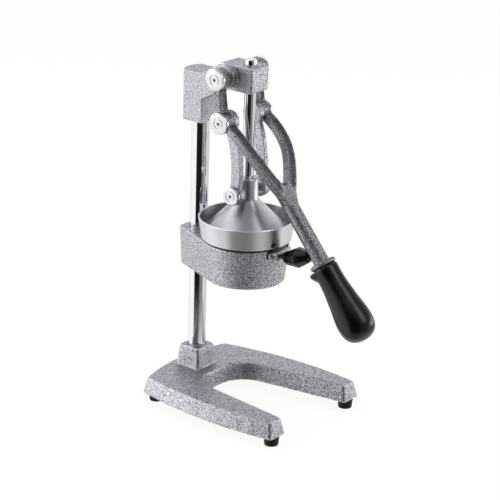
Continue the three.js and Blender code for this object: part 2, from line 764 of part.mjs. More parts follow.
function guideRod() {
  const bottom = rodSeatZ + GAP;
  const tap = ROD_SCREW_RADIUS + GAP;
  return turned('z', [
    [0, bottom + ROD_SCREW_REACH],
    [tap, bottom + ROD_SCREW_REACH],
    [tap, bottom],
    [ROD_RADIUS - ROD_EDGE, bottom],
    [ROD_RADIUS, bottom + ROD_EDGE],
    [ROD_RADIUS, rodTopZ - ROD_EDGE],
    [ROD_RADIUS - ROD_EDGE, rodTopZ],
    [0, rodTopZ],
  ]);
}

// Links

function link(side) {
  const [top, bottom] = [at(PIVOT_B_Y, pivotBZ), at(0, pivotCZ)];
  const along = bottom.clone().sub(top).normalize();
  const across = new THREE.Vector2(along.y, -along.x);
  const edge = (offset) => {
    const [a, b] = [top, bottom].map((point) => point.clone().addScaledVector(across, offset));
    return [a, ...bow(a, b, LINK_BOW, BOW_STEPS * 2), b];
  };
  const outline = [...edge(LINK_WIDTH / 2), ...edge(-LINK_WIDTH / 2).reverse()];
  const body = prism('x', outline, side * (linkInnerX + LINK_PAD), side * (linkOuterX - LINK_PAD));
  const eyeB = rod('x', LINK_EYE_B_RADIUS, side * linkInnerX, side * linkOuterX, PIVOT_B_Y, pivotBZ, FACETS);
  const eyeC = rod('x', LINK_EYE_C_RADIUS, side * linkInnerX, side * linkOuterX, 0, pivotCZ, FACETS);
  const tapFrom = side * (linkOuterX - LINK_TAP_DEPTH);
  return cut(
    joined(body, eyeB, eyeC),
    rod('x', PIVOT_BOLT_RADIUS + GAP, tapFrom, side * (linkOuterX + OVERRUN), PIVOT_B_Y, pivotBZ),
    rod('x', LOWER_BOLT_RADIUS + GAP, side * (linkInnerX - OVERRUN), side * (linkOuterX + OVERRUN), 0, pivotCZ),
  );
}

// Fork lever, drawn in its own frame with pivot B at the origin

const slope = THREE.MathUtils.degToRad(LEVER_SLOPE);
const towardsA = at(PIVOT_A_Y - PIVOT_B_Y, pivotAZ - pivotBZ).rotateAround(at(0, 0), -slope);

// Sections along a path, each a rectangle whose height stands towards the given up direction
function swept(path, up, from, to, stations, outlineAt) {
  const sections = Array.from({ length: stations + 1 }, (_, i) => {
    const share = i / stations;
    const t = from + (to - from) * share;
    const forward = path.getTangentAt(t).normalize();
    const sideways = new THREE.Vector3().crossVectors(forward, up).normalize();
    const upward = new THREE.Vector3().crossVectors(sideways, forward).normalize();
    const place = new THREE.Matrix4().makeBasis(sideways, upward, forward.clone().negate());
    return { outline: outlineAt(share), place: place.setPosition(path.getPointAt(t)) };
  });
  return loft(sections);
}

// A channel in a bar's face, narrowed at both ends so that it ends round
function channel(path, up, [from, to]) {
  const half = LEVER_BAR_THICKNESS / 2;
  const endShare = CHANNEL_WIDTH / 2 / (path.getLength() * (to - from));
  return swept(path, up, from, to, FORK_STATIONS, (share) => {
    const end = Math.min(share, 1 - share) / endShare;
    const width = end >= 1 ? 1 : Math.sqrt(1 - (1 - end) ** 2);
    const narrow = Math.max((CHANNEL_WIDTH / 2) * width, CHANNEL_DEPTH / 2);
    return rectangle(narrow, half - CHANNEL_DEPTH, half + OVERRUN, CHANNEL_DEPTH / 4, 1);
  });
}

function leverArm(side) {
  const points = FORK_PATH_SHARES.map(
    ([along, spread, rise]) =>
      new THREE.Vector3(side * spread * FORK_SPREAD, -along * FORK_LENGTH, rise * FORK_RISE),
  );
  const path = new THREE.CatmullRomCurve3(points);
  const half = LEVER_BAR_THICKNESS / 2;
  const section = (share) => {
    const flare = Math.max(share - LEVER_FLARE_FROM, 0) / (1 - LEVER_FLARE_FROM);
    return rectangle((LEVER_BAR_WIDTH + LEVER_BAR_FLARE * flare) / 2, -half, half, BASE_EDGE, 1);
  };
  const arm = swept(path, unit.z, 0, 1, FORK_STATIONS, section);
  return cut(arm, channel(path, unit.z, ARM_CHANNEL_SHARES));
}

function leverBar(side) {
  const x = side * (leverInnerX + LEVER_BAR_WIDTH / 2);
  const path = new THREE.LineCurve3(
    new THREE.Vector3(x, towardsA.x, towardsA.y),
    new THREE.Vector3(x, 0, 0),
  );
  const up = new THREE.Vector3(0, -towardsA.y, towardsA.x).normalize();
  const half = LEVER_BAR_THICKNESS / 2;
  const section = () => rectangle(LEVER_BAR_WIDTH / 2, -half, half, BASE_EDGE, 1);
  return cut(swept(path, up, 0, 1, 1, section), channel(path, up, BAR_CHANNEL_SHARES));
}

// The shaft runs on from the fork with a slight tilt of its own
const shaftStart = [0, -SHAFT_START, SHAFT_RISE];
const shaftLength = SHAFT_END - SHAFT_START;

function leverShaft() {
  const collarEnd = shaftLength + COLLAR_THICKNESS;
  const round = COLLAR_THICKNESS / 2;
  const quarter = Math.PI / 2;
  const bead = arcPoints(COLLAR_RADIUS - round, round - collarEnd, round, quarter, -quarter, CORNER_STEPS);
  const bar = turned('y', [
    [0, 0],
    [SHAFT_RADIUS, 0],
    [SHAFT_RADIUS, -shaftLength],
    ...bead.map((point) => [point.x, point.y]),
    [TANG_RADIUS, -collarEnd],
    [TANG_RADIUS, -collarEnd - TANG_LENGTH],
    [0, -collarEnd - TANG_LENGTH],
  ]);
  const knuckle = solid(new THREE.SphereGeometry(SHAFT_RADIUS, SMALL_FACETS, SMALL_FACETS / 2));
  return joined(bar, knuckle).rotate([-SHAFT_TILT, 0, 0]).translate(shaftStart);
}

function leverFork() {
  const pivots = [[0, 0], [towardsA.x, towardsA.y]];
  const handed = Object.values(sides).flatMap((side) => {
    const eyes = pivots.map(([y, z]) =>
      rod('x', LEVER_EYE_RADIUS, side * leverInnerX, side * leverEyeOuterX, y, z, FACETS),
    );
    const relief = pivots.map(([y, z]) =>
      rod('x', PIVOT_BOLT_HEAD_RADIUS + GAP, side * leverEyeOuterX, side * 2 * FORK_SPREAD, y, z, FACETS),
    );
    const inside = pivots.map(([y, z]) =>
      rod('x', LEVER_EYE_RADIUS + BITE, 0, side * leverInnerX, y, z, FACETS),
    );
    const bores = pivots.map(([y, z]) =>
      rod('x', PIVOT_BOLT_RADIUS + RUNNING_GAP, 0, side * 2 * FORK_SPREAD, y, z),
    );
    return [cut(joined(leverArm(side), leverBar(side), ...eyes), ...relief, ...inside, ...bores)];
  });
  return joined(...handed, leverShaft());
}

// The finger stop is a short ring set off towards the grip's underside, which fades into the bulb
function leverGrip() {
  const profile = GRIP_PROFILE_SHARES.map(([radius, along]) => [radius * GRIP_RADIUS, along * GRIP_LENGTH]);
  const body = turned('y', [[0, 0], ...profile, [0, GRIP_LENGTH]]);
  const neck = GRIP_PROFILE_SHARES[2][0] * GRIP_RADIUS;
  const stopEnd = GRIP_STOP_START + GRIP_STOP_LENGTH;
  const stop = turned('y', [
    [0, GRIP_STOP_START],
    [neck - BASE_EDGE, GRIP_STOP_START],
    [neck, GRIP_STOP_START + BASE_EDGE],
    [neck, stopEnd],
    [neck - GRIP_STOP_REACH / 2, stopEnd + GRIP_STOP_FADE / 3],
    [neck - GRIP_STOP_REACH, stopEnd + GRIP_STOP_FADE],
    [0, stopEnd + GRIP_STOP_FADE],
  ]);
  const bore = rod('y', TANG_RADIUS + GAP, -OVERRUN, TANG_LENGTH + GAP, 0, 0, FACETS);
  return cut(joined(body, stop.translate([0, 0, GRIP_STOP_REACH])), bore);
}

// Bowl holder: the ring's outline runs tangent to its rear corners

function holderOutline(radius, rearHalf, rearY) {
  const distance = Math.hypot(rearHalf, rearY);
  const tangent = Math.atan2(rearY, rearHalf) - Math.acos(radius / distance);
  const ring = arcPoints(0, 0, radius, Math.PI - tangent, 2 * Math.PI + tangent, FACETS);
  return rounded([
    ...ring.map((point) => [point, 0]),
    [at(rearHalf, rearY), HEAD_CORNER],
    [at(-rearHalf, rearY), HEAD_CORNER],
  ]);
}

function bowlHolder() {
  const outline = (draftShare, inset) =>
    holderOutline(
      HOLDER_TOP_RADIUS - HOLDER_DRAFT * draftShare - inset,
      HOLDER_REAR_HALF - HOLDER_REAR_DRAFT * draftShare - inset,
      HOLDER_REAR_Y - HOLDER_REAR_DRAFT * draftShare - inset,
    );
  const body = loft([
    level(outline(1, 0), holderBottomZ),
    level(outline(0, 0), holderTopZ - BASE_EDGE),
    level(outline(0, BASE_EDGE), holderTopZ),
  ]);
  const inside = turned('z', [
    [0, holderBottomZ - OVERRUN],
    [HOLDER_THROAT_RADIUS, holderBottomZ - OVERRUN],
    [HOLDER_THROAT_RADIUS, holderBottomZ],
    [insideRadius - HOLDER_LEDGE, ledgeZ],
    [insideRadius, ledgeZ],
    [insideRadius, holderTopZ + OVERRUN],
    [0, holderTopZ + OVERRUN],
  ]);
  const notch = box(
    [-NOTCH_HALF_WIDTH, NOTCH_HALF_WIDTH],
    [-HOLDER_TOP_RADIUS - OVERRUN, 0],
    [notchZ, holderTopZ + OVERRUN],
  );
  return cut(
    body,
    inside,
    notch,
    rod('z', COLUMN_RADIUS + GAP, holderBottomZ - OVERRUN, holderTopZ + OVERRUN, 0, COLUMN_Y, FACETS),
    setScrewHole(holderScrewZ, HOLDER_REAR_Y),
  );
}

// Funnel and strainer, stacked on the holder's ledge

const flangeRadius = insideRadius - GAP;
const funnelTopZ = ledgeZ + GAP + FUNNEL_WALL;
const strainerZ = funnelTopZ + GAP;

function juiceFunnel() {
  const mouth = flangeRadius - FUNNEL_FLANGE;
  const outlet = FUNNEL_OUTLET_RADIUS;
  return turnedRing('z', [
    [flangeRadius, funnelTopZ - FUNNEL_WALL],
    [flangeRadius, funnelTopZ],
    [mouth, funnelTopZ],
    [outlet, funnelNeckZ],
    [outlet, funnelOutletZ],
    [outlet + FUNNEL_WALL, funnelOutletZ],
    [outlet + FUNNEL_WALL, funnelNeckZ - FUNNEL_WALL],
    [mouth, funnelTopZ - FUNNEL_WALL],
  ]);
}

// The reamer's section is a circle with rounded ridges
function ridged(radius) {
  const steps = REAMER_RIDGES * 4;
  return Array.from({ length: steps }, (_, i) => {
    const angle = (i * 2 * Math.PI) / steps;
    const ridge = 1 - (REAMER_RIDGE_SHARE * (1 - Math.cos(REAMER_RIDGES * angle))) / 2;
    return at(radius * ridge * Math.cos(angle), radius * ridge * Math.sin(angle));
  });
}

// The reamer stands on the strainer's floor, with a spigot in the floor's opening
const strainerBoreRadius = REAMER_RADIUS - REAMER_WALL * 2;
const strainerFloorZ = strainerZ + STRAINER_FLANGE;
const reamerZ = strainerFloorZ + GAP;

function reamer() {
  const height = REAMER_HEIGHT - STRAINER_FLANGE;
  const spigot = strainerBoreRadius - GAP;
  const cone = loft(REAMER_PROFILE_SHARES.map(([radius, rise]) =>
    level(ridged(radius * REAMER_RADIUS), reamerZ + rise * height),
  ));
  const ring = rod('z', spigot, strainerZ + GAP, reamerZ + BITE, 0, 0, FACETS);
  const inner = spigot - REAMER_SPIGOT_WALL;
  const hollow = turned('z', [
    [0, strainerZ - OVERRUN],
    [inner, strainerZ - OVERRUN],
    [inner, reamerZ],
    ...REAMER_PROFILE_SHARES.slice(1).map(([radius, rise]) => [
      Math.max(Math.min(radius * (1 - REAMER_RIDGE_SHARE) * REAMER_RADIUS - REAMER_WALL, inner), REAMER_WALL),
      reamerZ + rise * (height - REAMER_WALL * 2),
    ]),
    [0, reamerZ + height - REAMER_WALL * 2],
  ], SMALL_FACETS * 2);
  return cut(joined(cone, ring), hollow);
}

function strainer() {
  const rimTopZ = strainerZ + STRAINER_RIM_HEIGHT;
  const dish = turnedRing('z', [
    [strainerBoreRadius, strainerZ],
    [flangeRadius, strainerZ],
    [flangeRadius, rimTopZ],
    [flangeRadius - STRAINER_RIM_WALL, rimTopZ],
    [flangeRadius - STRAINER_RIM_WALL, strainerFloorZ],
    [strainerBoreRadius, strainerFloorZ],
  ]);
  const slotFrom = REAMER_RADIUS + REAMER_WALL;
  const slot = box(
    [slotFrom, slotFrom + SLOT_LENGTH],
    [-SLOT_HALF_WIDTH, SLOT_HALF_WIDTH],
    [strainerZ - OVERRUN, strainerFloorZ + OVERRUN],
  );
  const slots = Array.from({ length: SLOT_COUNT }, (_, i) => slot.rotate([0, 0, (i * 360) / SLOT_COUNT]));
  const armBottom = notchZ + GAP;
  const armTop = rimTopZ;
  const arm = loft([
    across(rectangle(ARM_HALF_WIDTH, armBottom, armTop, ARM_EDGE), -flangeRadius + STRAINER_RIM_WALL),
    across(rectangle(ARM_HALF_WIDTH, armBottom, armTop, ARM_EDGE), -HOLDER_TOP_RADIUS),
    across(rectangle(ARM_NECK_HALF_WIDTH, armBottom - ARM_DROP, armTop - ARM_EDGE, ARM_EDGE * 2), -ARM_REACH),
  ]);
  const tang = rod('y', SIDE_TANG_RADIUS, -SIDE_TANG_LENGTH, sideSetback + BITE);
  const tap = rod('y', SIDE_SCREW_RADIUS + GAP, -SIDE_TANG_LENGTH - OVERRUN, -SIDE_TANG_LENGTH + SIDE_SCREW_REACH);
  const [shank, hole] = [tang, tap].map((tool) =>
    tool.rotate([-SIDE_GRIP_TILT, 0, 0]).translate(sideStart),
  );
  return cut(joined(cut(dish, ...slots), arm, shank), hole);
}

// The side grip lies along its own -Y; its screw goes in from the far end
const sideTilt = THREE.MathUtils.degToRad(SIDE_GRIP_TILT);
const sideSetback = Math.tan(sideTilt) * SIDE_GRIP_RADIUS * SIDE_GRIP_PROFILE_SHARES[0][0] + 2 * GAP;
const sideStart = [0, -ARM_REACH - sideSetback, sideGripZ];
const screwSeat = SIDE_TANG_LENGTH + GAP + STRAINER_FLANGE;

// The side grip ends short of the lever's shaft: its axis and the shaft's are crossed in the y-z plane
const shaftFrom = at(shaftStart[1], shaftStart[2]).rotateAround(at(0, 0), slope).add(at(PIVOT_B_Y, pivotBZ));
const shaftWay = at(-1, 0).rotateAround(at(0, 0), slope - THREE.MathUtils.degToRad(SHAFT_TILT));
const gripWay = at(-1, 0).rotateAround(at(0, 0), -sideTilt);
const gripToShaft = shaftFrom.clone().sub(at(sideStart[1], sideStart[2])).cross(shaftWay) / gripWay.cross(shaftWay);
const sideGripLength = gripToShaft - SHAFT_RADIUS - SIDE_GRIP_CLEARANCE;

function sideGrip() {
  const facet = (share) => SIDE_GRIP_RADIUS * share;
  const body = loft(SIDE_GRIP_PROFILE_SHARES.map(([radius, along]) =>
    across(polygon(facet(radius), SIDE_GRIP_SIDES, Math.PI / SIDE_GRIP_SIDES), -along * sideGripLength),
  ));
  return cut(
    body,
    rod('y', SIDE_TANG_RADIUS + GAP, OVERRUN, -SIDE_TANG_LENGTH - GAP),
    rod('y', SIDE_SCREW_RADIUS + GAP, 0, -sideGripLength - OVERRUN),
    rod('y', SIDE_SCREW_HEAD_RADIUS + GAP, -screwSeat, -sideGripLength - OVERRUN),
  );
}

// Assembly

const materials = Object.fromEntries(
  Object.entries(finishes).map(([name, values]) => [name, new THREE.MeshStandardMaterial(values)]),
);

function piece(name, body, finish) {
  const mesh = new THREE.Mesh(geometryOf(body), materials[finish]);
  mesh.name = name;
  return mesh;
}

function placed(mesh, x, y, z) {
  mesh.position.set(x, y, z);
  return mesh;
}

const frame = new THREE.Group();
frame.add(
  piece('base_casting', baseCasting(), 'hammertone'),
  piece('column', column().translate([0, COLUMN_Y, 0]), 'chrome'),
  piece('head_casting', headCasting(), 'hammertone'),
  piece('bowl_holder', bowlHolder(), 'hammertone'),
  piece('juice_funnel', juiceFunnel(), 'brushed'),
  piece('strainer', strainer(), 'brushed'),
  piece('reamer', reamer(), 'brushed'),
);
const washerZ = boltWellZ - GAP - COLUMN_WASHER_THICKNESS;
const columnBolt = screw(
  COLUMN_BOLT_RADIUS,
  COLUMN_BOLT_REACH,
  COLUMN_BOLT_HEAD_RADIUS,
  COLUMN_BOLT_HEAD_HEIGHT,
);
const columnWasher = washer(COLUMN_BOLT_RADIUS + GAP, COLUMN_WASHER_RADIUS, COLUMN_WASHER_THICKNESS);
frame.add(
  placed(piece('column_washer', columnWasher, 'steel'), 0, COLUMN_Y, washerZ),
  placed(piece('column_bolt', columnBolt, 'steel'), 0, COLUMN_Y, washerZ - GAP),
  placed(piece('head_set_screw', setScrew(), 'steel'), 0, setScrewY, headScrewZ),
  placed(piece('holder_set_screw', setScrew(), 'steel'), 0, setScrewY, holderScrewZ),
);
for (const [name, [x, y]] of Object.entries(feet)) {
  const screwUp = screw(
    FOOT_SCREW_RADIUS,
    FOOT_SCREW_REACH + FOOT_HEIGHT - FOOT_RECESS_DEPTH,
    FOOT_SCREW_HEAD_RADIUS,
    FOOT_SCREW_HEAD_HEIGHT,
  );
  frame.add(
    placed(piece(`foot_${name}`, foot(), 'rubber'), x, y, 0),
    placed(piece(`foot_screw_${name}`, screwUp, 'steel'), x, y, FOOT_RECESS_DEPTH - GAP),
  );
}

const sideHandle = new THREE.Group();
sideHandle.position.set(...sideStart);
sideHandle.rotation.x = -sideTilt;
const sideScrew = screw(
  SIDE_SCREW_RADIUS,
  SIDE_SCREW_REACH,
  SIDE_SCREW_HEAD_RADIUS,
  SIDE_SCREW_HEAD_HEIGHT,
).rotate([-90, 0, 0]);
sideHandle.add(
  piece('side_grip', sideGrip(), 'plastic'),
  placed(piece('side_grip_screw', sideScrew, 'steel'), 0, -screwSeat - GAP, 0),
);
frame.add(sideHandle);

const pusher = new THREE.Group();
const rodScrew = screw(ROD_SCREW_RADIUS, ROD_SCREW_REACH, ROD_SCREW_HEAD_RADIUS, ROD_SCREW_HEAD_HEIGHT);
pusher.add(
  piece('press_cup', pressCup(), 'brushed'),
  piece('guide_rod', guideRod(), 'chrome'),
  placed(piece('rod_screw', rodScrew, 'steel'), 0, 0, rodSeatZ - CUP_ROD_FLOOR - GAP),
);

const lever = new THREE.Group();
lever.position.set(0, PIVOT_B_Y, pivotBZ);
lever.rotation.x = slope;
const handle = new THREE.Group();
handle.position.set(...shaftStart);
handle.rotation.x = -THREE.MathUtils.degToRad(SHAFT_TILT);
const grip = piece('lever_grip', leverGrip().rotate([180, 0, 0]), 'plastic');
handle.add(placed(grip, 0, -shaftLength - COLLAR_THICKNESS - GAP, 0));
lever.add(piece('lever_fork', leverFork(), 'hammertone'), handle);

const links = new THREE.Group();
const upper = [leverEyeOuterX + GAP, PIVOT_BOLT_HEAD_RADIUS, PIVOT_BOLT_HEAD_THICKNESS];
const lower = [linkOuterX + GAP, LOWER_BOLT_HEAD_RADIUS, LOWER_BOLT_HEAD_THICKNESS];
for (const [name, side] of Object.entries(sides)) {
  const turn = side > 0 ? 0 : Math.PI;
  const bolts = {
    head_pivot_bolt: [frame, pivotBolt(PIVOT_BOLT_RADIUS, PIVOT_BOLT_END_X, ...upper), PIVOT_A_Y, pivotAZ],
    link_pivot_bolt: [links, pivotBolt(PIVOT_BOLT_RADIUS, leverInnerX, ...upper), PIVOT_B_Y, pivotBZ],
    cup_pivot_bolt: [pusher, pivotBolt(LOWER_BOLT_RADIUS, LOWER_BOLT_END_X, ...lower), 0, pivotCZ],
    head_spacer: [frame, spacer(), PIVOT_A_Y, pivotAZ],
  };
  for (const [kind, [group, body, y, z]] of Object.entries(bolts)) {
    const mesh = placed(piece(`${kind}_${name}`, body, 'chrome'), 0, y, z);
    mesh.rotation.z = turn;
    group.add(mesh);
  }
  links.add(piece(`link_${name}`, link(side), 'hammertone'));
}

const press = new THREE.Group();
press.add(frame, pusher, links, lever);
press.position.y = FOOTPRINT_SHIFT;

export default press;
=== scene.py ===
"""Dresses a lever citrus press: painted castings, chromed bars, a turned cup and black grips."""

import json
import math

import bpy
import numpy as np
from bpy.props import BoolProperty, FloatProperty, FloatVectorProperty, IntProperty, PointerProperty
from mathutils import Matrix, Vector
from mathutils.bvhtree import BVHTree
from mathutils.kdtree import KDTree

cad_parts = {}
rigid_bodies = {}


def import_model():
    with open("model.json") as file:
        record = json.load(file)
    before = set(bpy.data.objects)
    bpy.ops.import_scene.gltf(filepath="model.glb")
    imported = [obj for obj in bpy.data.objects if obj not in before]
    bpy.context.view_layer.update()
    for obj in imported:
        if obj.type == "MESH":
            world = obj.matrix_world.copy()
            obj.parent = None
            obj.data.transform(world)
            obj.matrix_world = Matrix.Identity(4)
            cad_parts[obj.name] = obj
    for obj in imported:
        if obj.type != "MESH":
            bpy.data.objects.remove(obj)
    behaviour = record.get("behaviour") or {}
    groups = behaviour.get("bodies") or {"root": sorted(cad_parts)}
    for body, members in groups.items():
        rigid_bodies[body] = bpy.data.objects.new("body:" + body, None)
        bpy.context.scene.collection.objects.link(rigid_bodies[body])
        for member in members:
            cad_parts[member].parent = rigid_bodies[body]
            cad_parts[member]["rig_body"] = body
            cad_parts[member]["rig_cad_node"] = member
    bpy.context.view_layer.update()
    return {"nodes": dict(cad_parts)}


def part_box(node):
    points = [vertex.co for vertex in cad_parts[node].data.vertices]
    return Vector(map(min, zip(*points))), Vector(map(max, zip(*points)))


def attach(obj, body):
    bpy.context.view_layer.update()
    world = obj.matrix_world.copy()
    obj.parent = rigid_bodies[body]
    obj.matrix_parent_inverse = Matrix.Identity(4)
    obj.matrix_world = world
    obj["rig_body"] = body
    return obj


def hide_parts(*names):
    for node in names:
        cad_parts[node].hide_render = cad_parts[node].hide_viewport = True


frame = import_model()

bl_info = {
    "name": "Citrus press",
    "version": (1, 0, 0),
    "blender": (4, 5, 0),
    "location": "3D View > Sidebar > Press",
    "description": "Builds a lever citrus press piece by piece around its fixed frame",
    "category": "Add Mesh",
}

MM = 0.001
UP = Vector((0, 0, 1))
ACROSS = Vector((1, 0, 0))

# Lengths in metres: the gap round a pin in its bore, the distances within which points are merged
# on new pieces and on copies of the frame's, and the smallest difference that counts
FIT = 0.0003
MERGE, FRAME_MERGE = 0.00001, 0.000002
HAIR = 0.0001

# The attribute in which a casting's vertices keep how far they stand out
EDGE = "edge"

# How fine the finishes' patterns are, in cells per metre
CLOUDS = 16.0
WORN_PATCHES = 90.0
# Patches of worn edge that also carry the painted edge highlight
WORN_AND_HIGHLIT_SPOTS = 260.0
HANDLING_MARKS = 65.0
SWIRLS = 60.0
SCUFFED_PATCHES = 45.0
SCUFFS = 420.0
CLOTH = 30.0

# The soft lamps: place, point they look at, width and height in metres, and power in watts
LAMPS = {
    "left softbox": ((-1.3, 1.9, 0.6), (0, 0.05, 0.2), 1.2, 1.1, 15.0),
    "right softbox": ((1.7, -1.2, 0.32), (0, 0.05, 0.2), 1.4, 0.55, 8.5),
    "front softbox": ((0.15, -1.5, 1.56), (0, -0.11, 0.14), 0.85, 1.3, 8.0),
    "top softbox": ((-0.3, 0.9, 2.0), (0, 0.05, 0.2), 1.2, 1.2, 5.0),
}

# The studio that bright metal mirrors. A wall begins between two turns from the camera's own
# direction, in radians, to the left or the right, and has its own glow
LEFT_WALL, LEFT_GLOW = (0.73, 0.83), 1.16
REAR_LEFT_WALL, REAR_LEFT_LOSS = (1.9, 2.5), 0.2
NEAR_RIGHT_WALL, NEAR_RIGHT_GLOW = (0.37, 0.45), 0.24
FAR_RIGHT_WALL, FAR_RIGHT_GLOW = (1.08, 1.2), 0.58
SIDE_RIGHT_WALL, SIDE_RIGHT_LOSS = (1.8, 2.2), 0.12
REAR_RIGHT_WALL, REAR_RIGHT_GAIN = (2.3, 2.6), 0.26
DARK_END_GLOW = 0.012

# Both walls fade between two heights of the line of sight, but not beyond the piece
UPPER_WALL = (0.05, 0.35)
LEFT_FADE, RIGHT_FADE, FULL_RIGHT_WALL = 0.5, 0.8, (2.1, 2.5)

# Where ceiling and ground take over from the walls, and how the ground brightens to the sides
CEILING_HEIGHT = (0.5, 0.85)
GROUND_DEPTH = (0.42, 0.62)
GROUND_LEFT, GROUND_LEFT_GAIN = (0.5, 1.0), 0.8
GROUND_RIGHT, GROUND_RIGHT_GAIN = (0.25, 0.6), 0.9


def middle(node):
    """The centre of a frame node's box."""
    low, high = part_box(node)
    return (low + high) / 2


def ends(node):
    """The lowest and the highest z of a frame node."""
    low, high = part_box(node)
    return low.z, high.z


ROD_Y = middle("guide_rod").y


# Sizes and colours that a user would change


def metres(name, text, value, precision=3):
    """A length that is given in metres."""
    return FloatProperty(
        name=name, description=text, default=value, unit="LENGTH", precision=precision
    )


def distance(name, text, value):
    """A length that is given in millimetres."""
    return metres(name, text, value * MM, 5)


def angle(name, text, value):
    """An angle that is given in degrees."""
    return FloatProperty(name=name, description=text, default=math.radians(value), subtype="ANGLE")


def paint(name, text, value):
    """A colour in linear light."""
    return FloatVectorProperty(
        name=name, description=text, default=value, subtype="COLOR", size=3, min=0, max=1
    )


def share(name, text, value):
    """A plain factor from 0 to 1."""
    return FloatProperty(name=name, description=text, default=value, min=0, max=1, subtype="FACTOR")


def glow(name, text, value):
    """A brightness, where 1 is white."""
    return FloatProperty(name=name, description=text, default=value, min=0)


def count(name, text, value, low, high):
    """A whole number between two ends."""
    return IntProperty(name=name, description=text, default=value, min=low, max=high)


class CastSizes(bpy.types.PropertyGroup):
    """The castings' mesh cells and soft edges, and where the lever's recesses lie, which get
    painted shade.
    """

    base_grain: distance("Base grain", "Size of a mesh cell on the base casting", 1.1)
    head_grain: distance("Head grain", "Size of a mesh cell on the head and the bowl holder", 0.8)
    lever_grain: distance("Lever grain", "Size of a mesh cell on the lever and its links", 0.65)
    rounding: count("Rounding", "Passes that soften the cast edges", 2, 0, 20)
    lever_slope: angle("Lever slope", "Slope of the lever's arms below the level", 51.5)
    # The recess floors found within this reach get painted shade
    recess_reach: distance("Recess reach", "Widest recess whose floor gets painted shade", 16)
    recess_start: distance("Recess start", "From the middle to the recesses' lower ends", 9)
    rim_width: distance("Rim width", "Width of the rims round the recesses", 3.4)


class BarSizes(bpy.types.PropertyGroup):
    """Column, guide rod, spacers and pivot bolts."""

    column_radius: distance("Column radius", "Radius of the column", 11.15)
    rod_radius: distance("Rod radius", "Radius of the guide rod", 6.95)
    chamfer: distance("Chamfer", "Chamfer at a bar's ends", 0.8)
    facets: count("Facets", "Steps round a turned piece", 96, 24, 192)
    bolt_shank: distance("Bolt shank", "Radius of the upper pivot bolts' shanks", 4.6)
    bolt_head: distance("Bolt head", "Radius of the upper pivot bolts' heads", 13.2)
    bolt_head_thick: distance("Bolt head thickness", "Thickness of the upper bolts' heads", 4.4)
    low_shank: distance("Lower shank", "Radius of the lower pivot bolts' shanks", 4)
    low_head: distance("Lower head", "Radius of the lower pivot bolts' heads", 11.5)
    low_head_thick: distance("Lower head thickness", "Thickness of the lower bolts' heads", 5.3)
    ring: distance("Ring groove", "Radius of the groove round a bolt's key hole", 5.6)
    key: distance("Key", "Radius of a bolt's six-sided key hole", 2.1)
    key_depth: distance("Key depth", "Depth of that key hole", 2.6)
    spacer: distance("Spacer radius", "Outer radius of the head's spacers", 11.8)


class CupSizes(bpy.types.PropertyGroup):
    """The press cup: a dished cone on a short stem with two lugs."""

    rim: distance("Rim radius", "Outer radius at the rim", 58)
    foot: distance("Foot radius", "Outer radius at the foot", 54.4)
    height: distance("Wall height", "Height of the outer wall", 25.8)
    lip: distance("Lip", "Thickness of the rim", 2)
    cone: distance("Cone radius", "Radius where the cone meets the wall", 50.5)
    cone_foot: distance("Cone foot", "Height of the cone's foot above the wall's foot", 11.5)
    wall: distance("Wall", "Thickness of the skirt at its foot", 3.6)
    stem: distance("Stem radius", "Outer radius of the stem", 12.75)
    stem_foot: distance("Stem foot", "Height of the stem's foot above the wall's foot", 48.8)
    floor: distance("Floor", "Thickness under the guide rod", 4.5)
    lug_radius: distance("Lug radius", "Radius of a lug's round top", 13)
    lug_inner: distance("Lug's inner face", "Distance from the middle to a lug", 11)
    lug_thick: distance("Lug thickness", "Thickness of a lug", 8.2)
    vent: distance("Vent radius", "Radius of the hole in the skirt", 3.3)
    vent_height: distance("Vent height", "Height of the hole above the foot", 5.2)
    vent_turn: angle("Vent turn", "Turn of the hole from the front", -17)


class GripSizes(bpy.types.PropertyGroup):
    """The lever's black bulb grip."""

    slope: angle("Slope", "Slope of the grip below the level", 50.4)
    radius: distance("Radius", "Largest radius of the bulb", 21.75)
    length: distance("Length", "Length of the bulb", 97.5)
    bore: distance("Bore", "Radius of the hole for the tang", 6.3)
    bore_depth: distance("Bore depth", "Depth of the hole for the tang", 62.3)
    stop_reach: distance("Stop reach", "How far the finger stop stands out", 6.6)
    stop_start: distance("Stop start", "Where the finger stop starts along the grip", 0.8)
    stop_length: distance("Stop length", "Length of the finger stop along the grip", 4.6)
    stop_fade: distance("Stop fade", "Length over which the finger stop fades into the bulb", 13)


class FootSizes(bpy.types.PropertyGroup):
    """The rubber feet."""

    top: distance("Top radius", "Radius under the base", 9.4)
    sole: distance("Sole radius", "Radius at the table", 8.4)
    height: distance("Height", "Height of a foot", 12)
    recess: distance("Recess", "Radius of the recess for the screw", 4.6)
    recess_depth: distance("Recess depth", "Depth of that recess", 5)


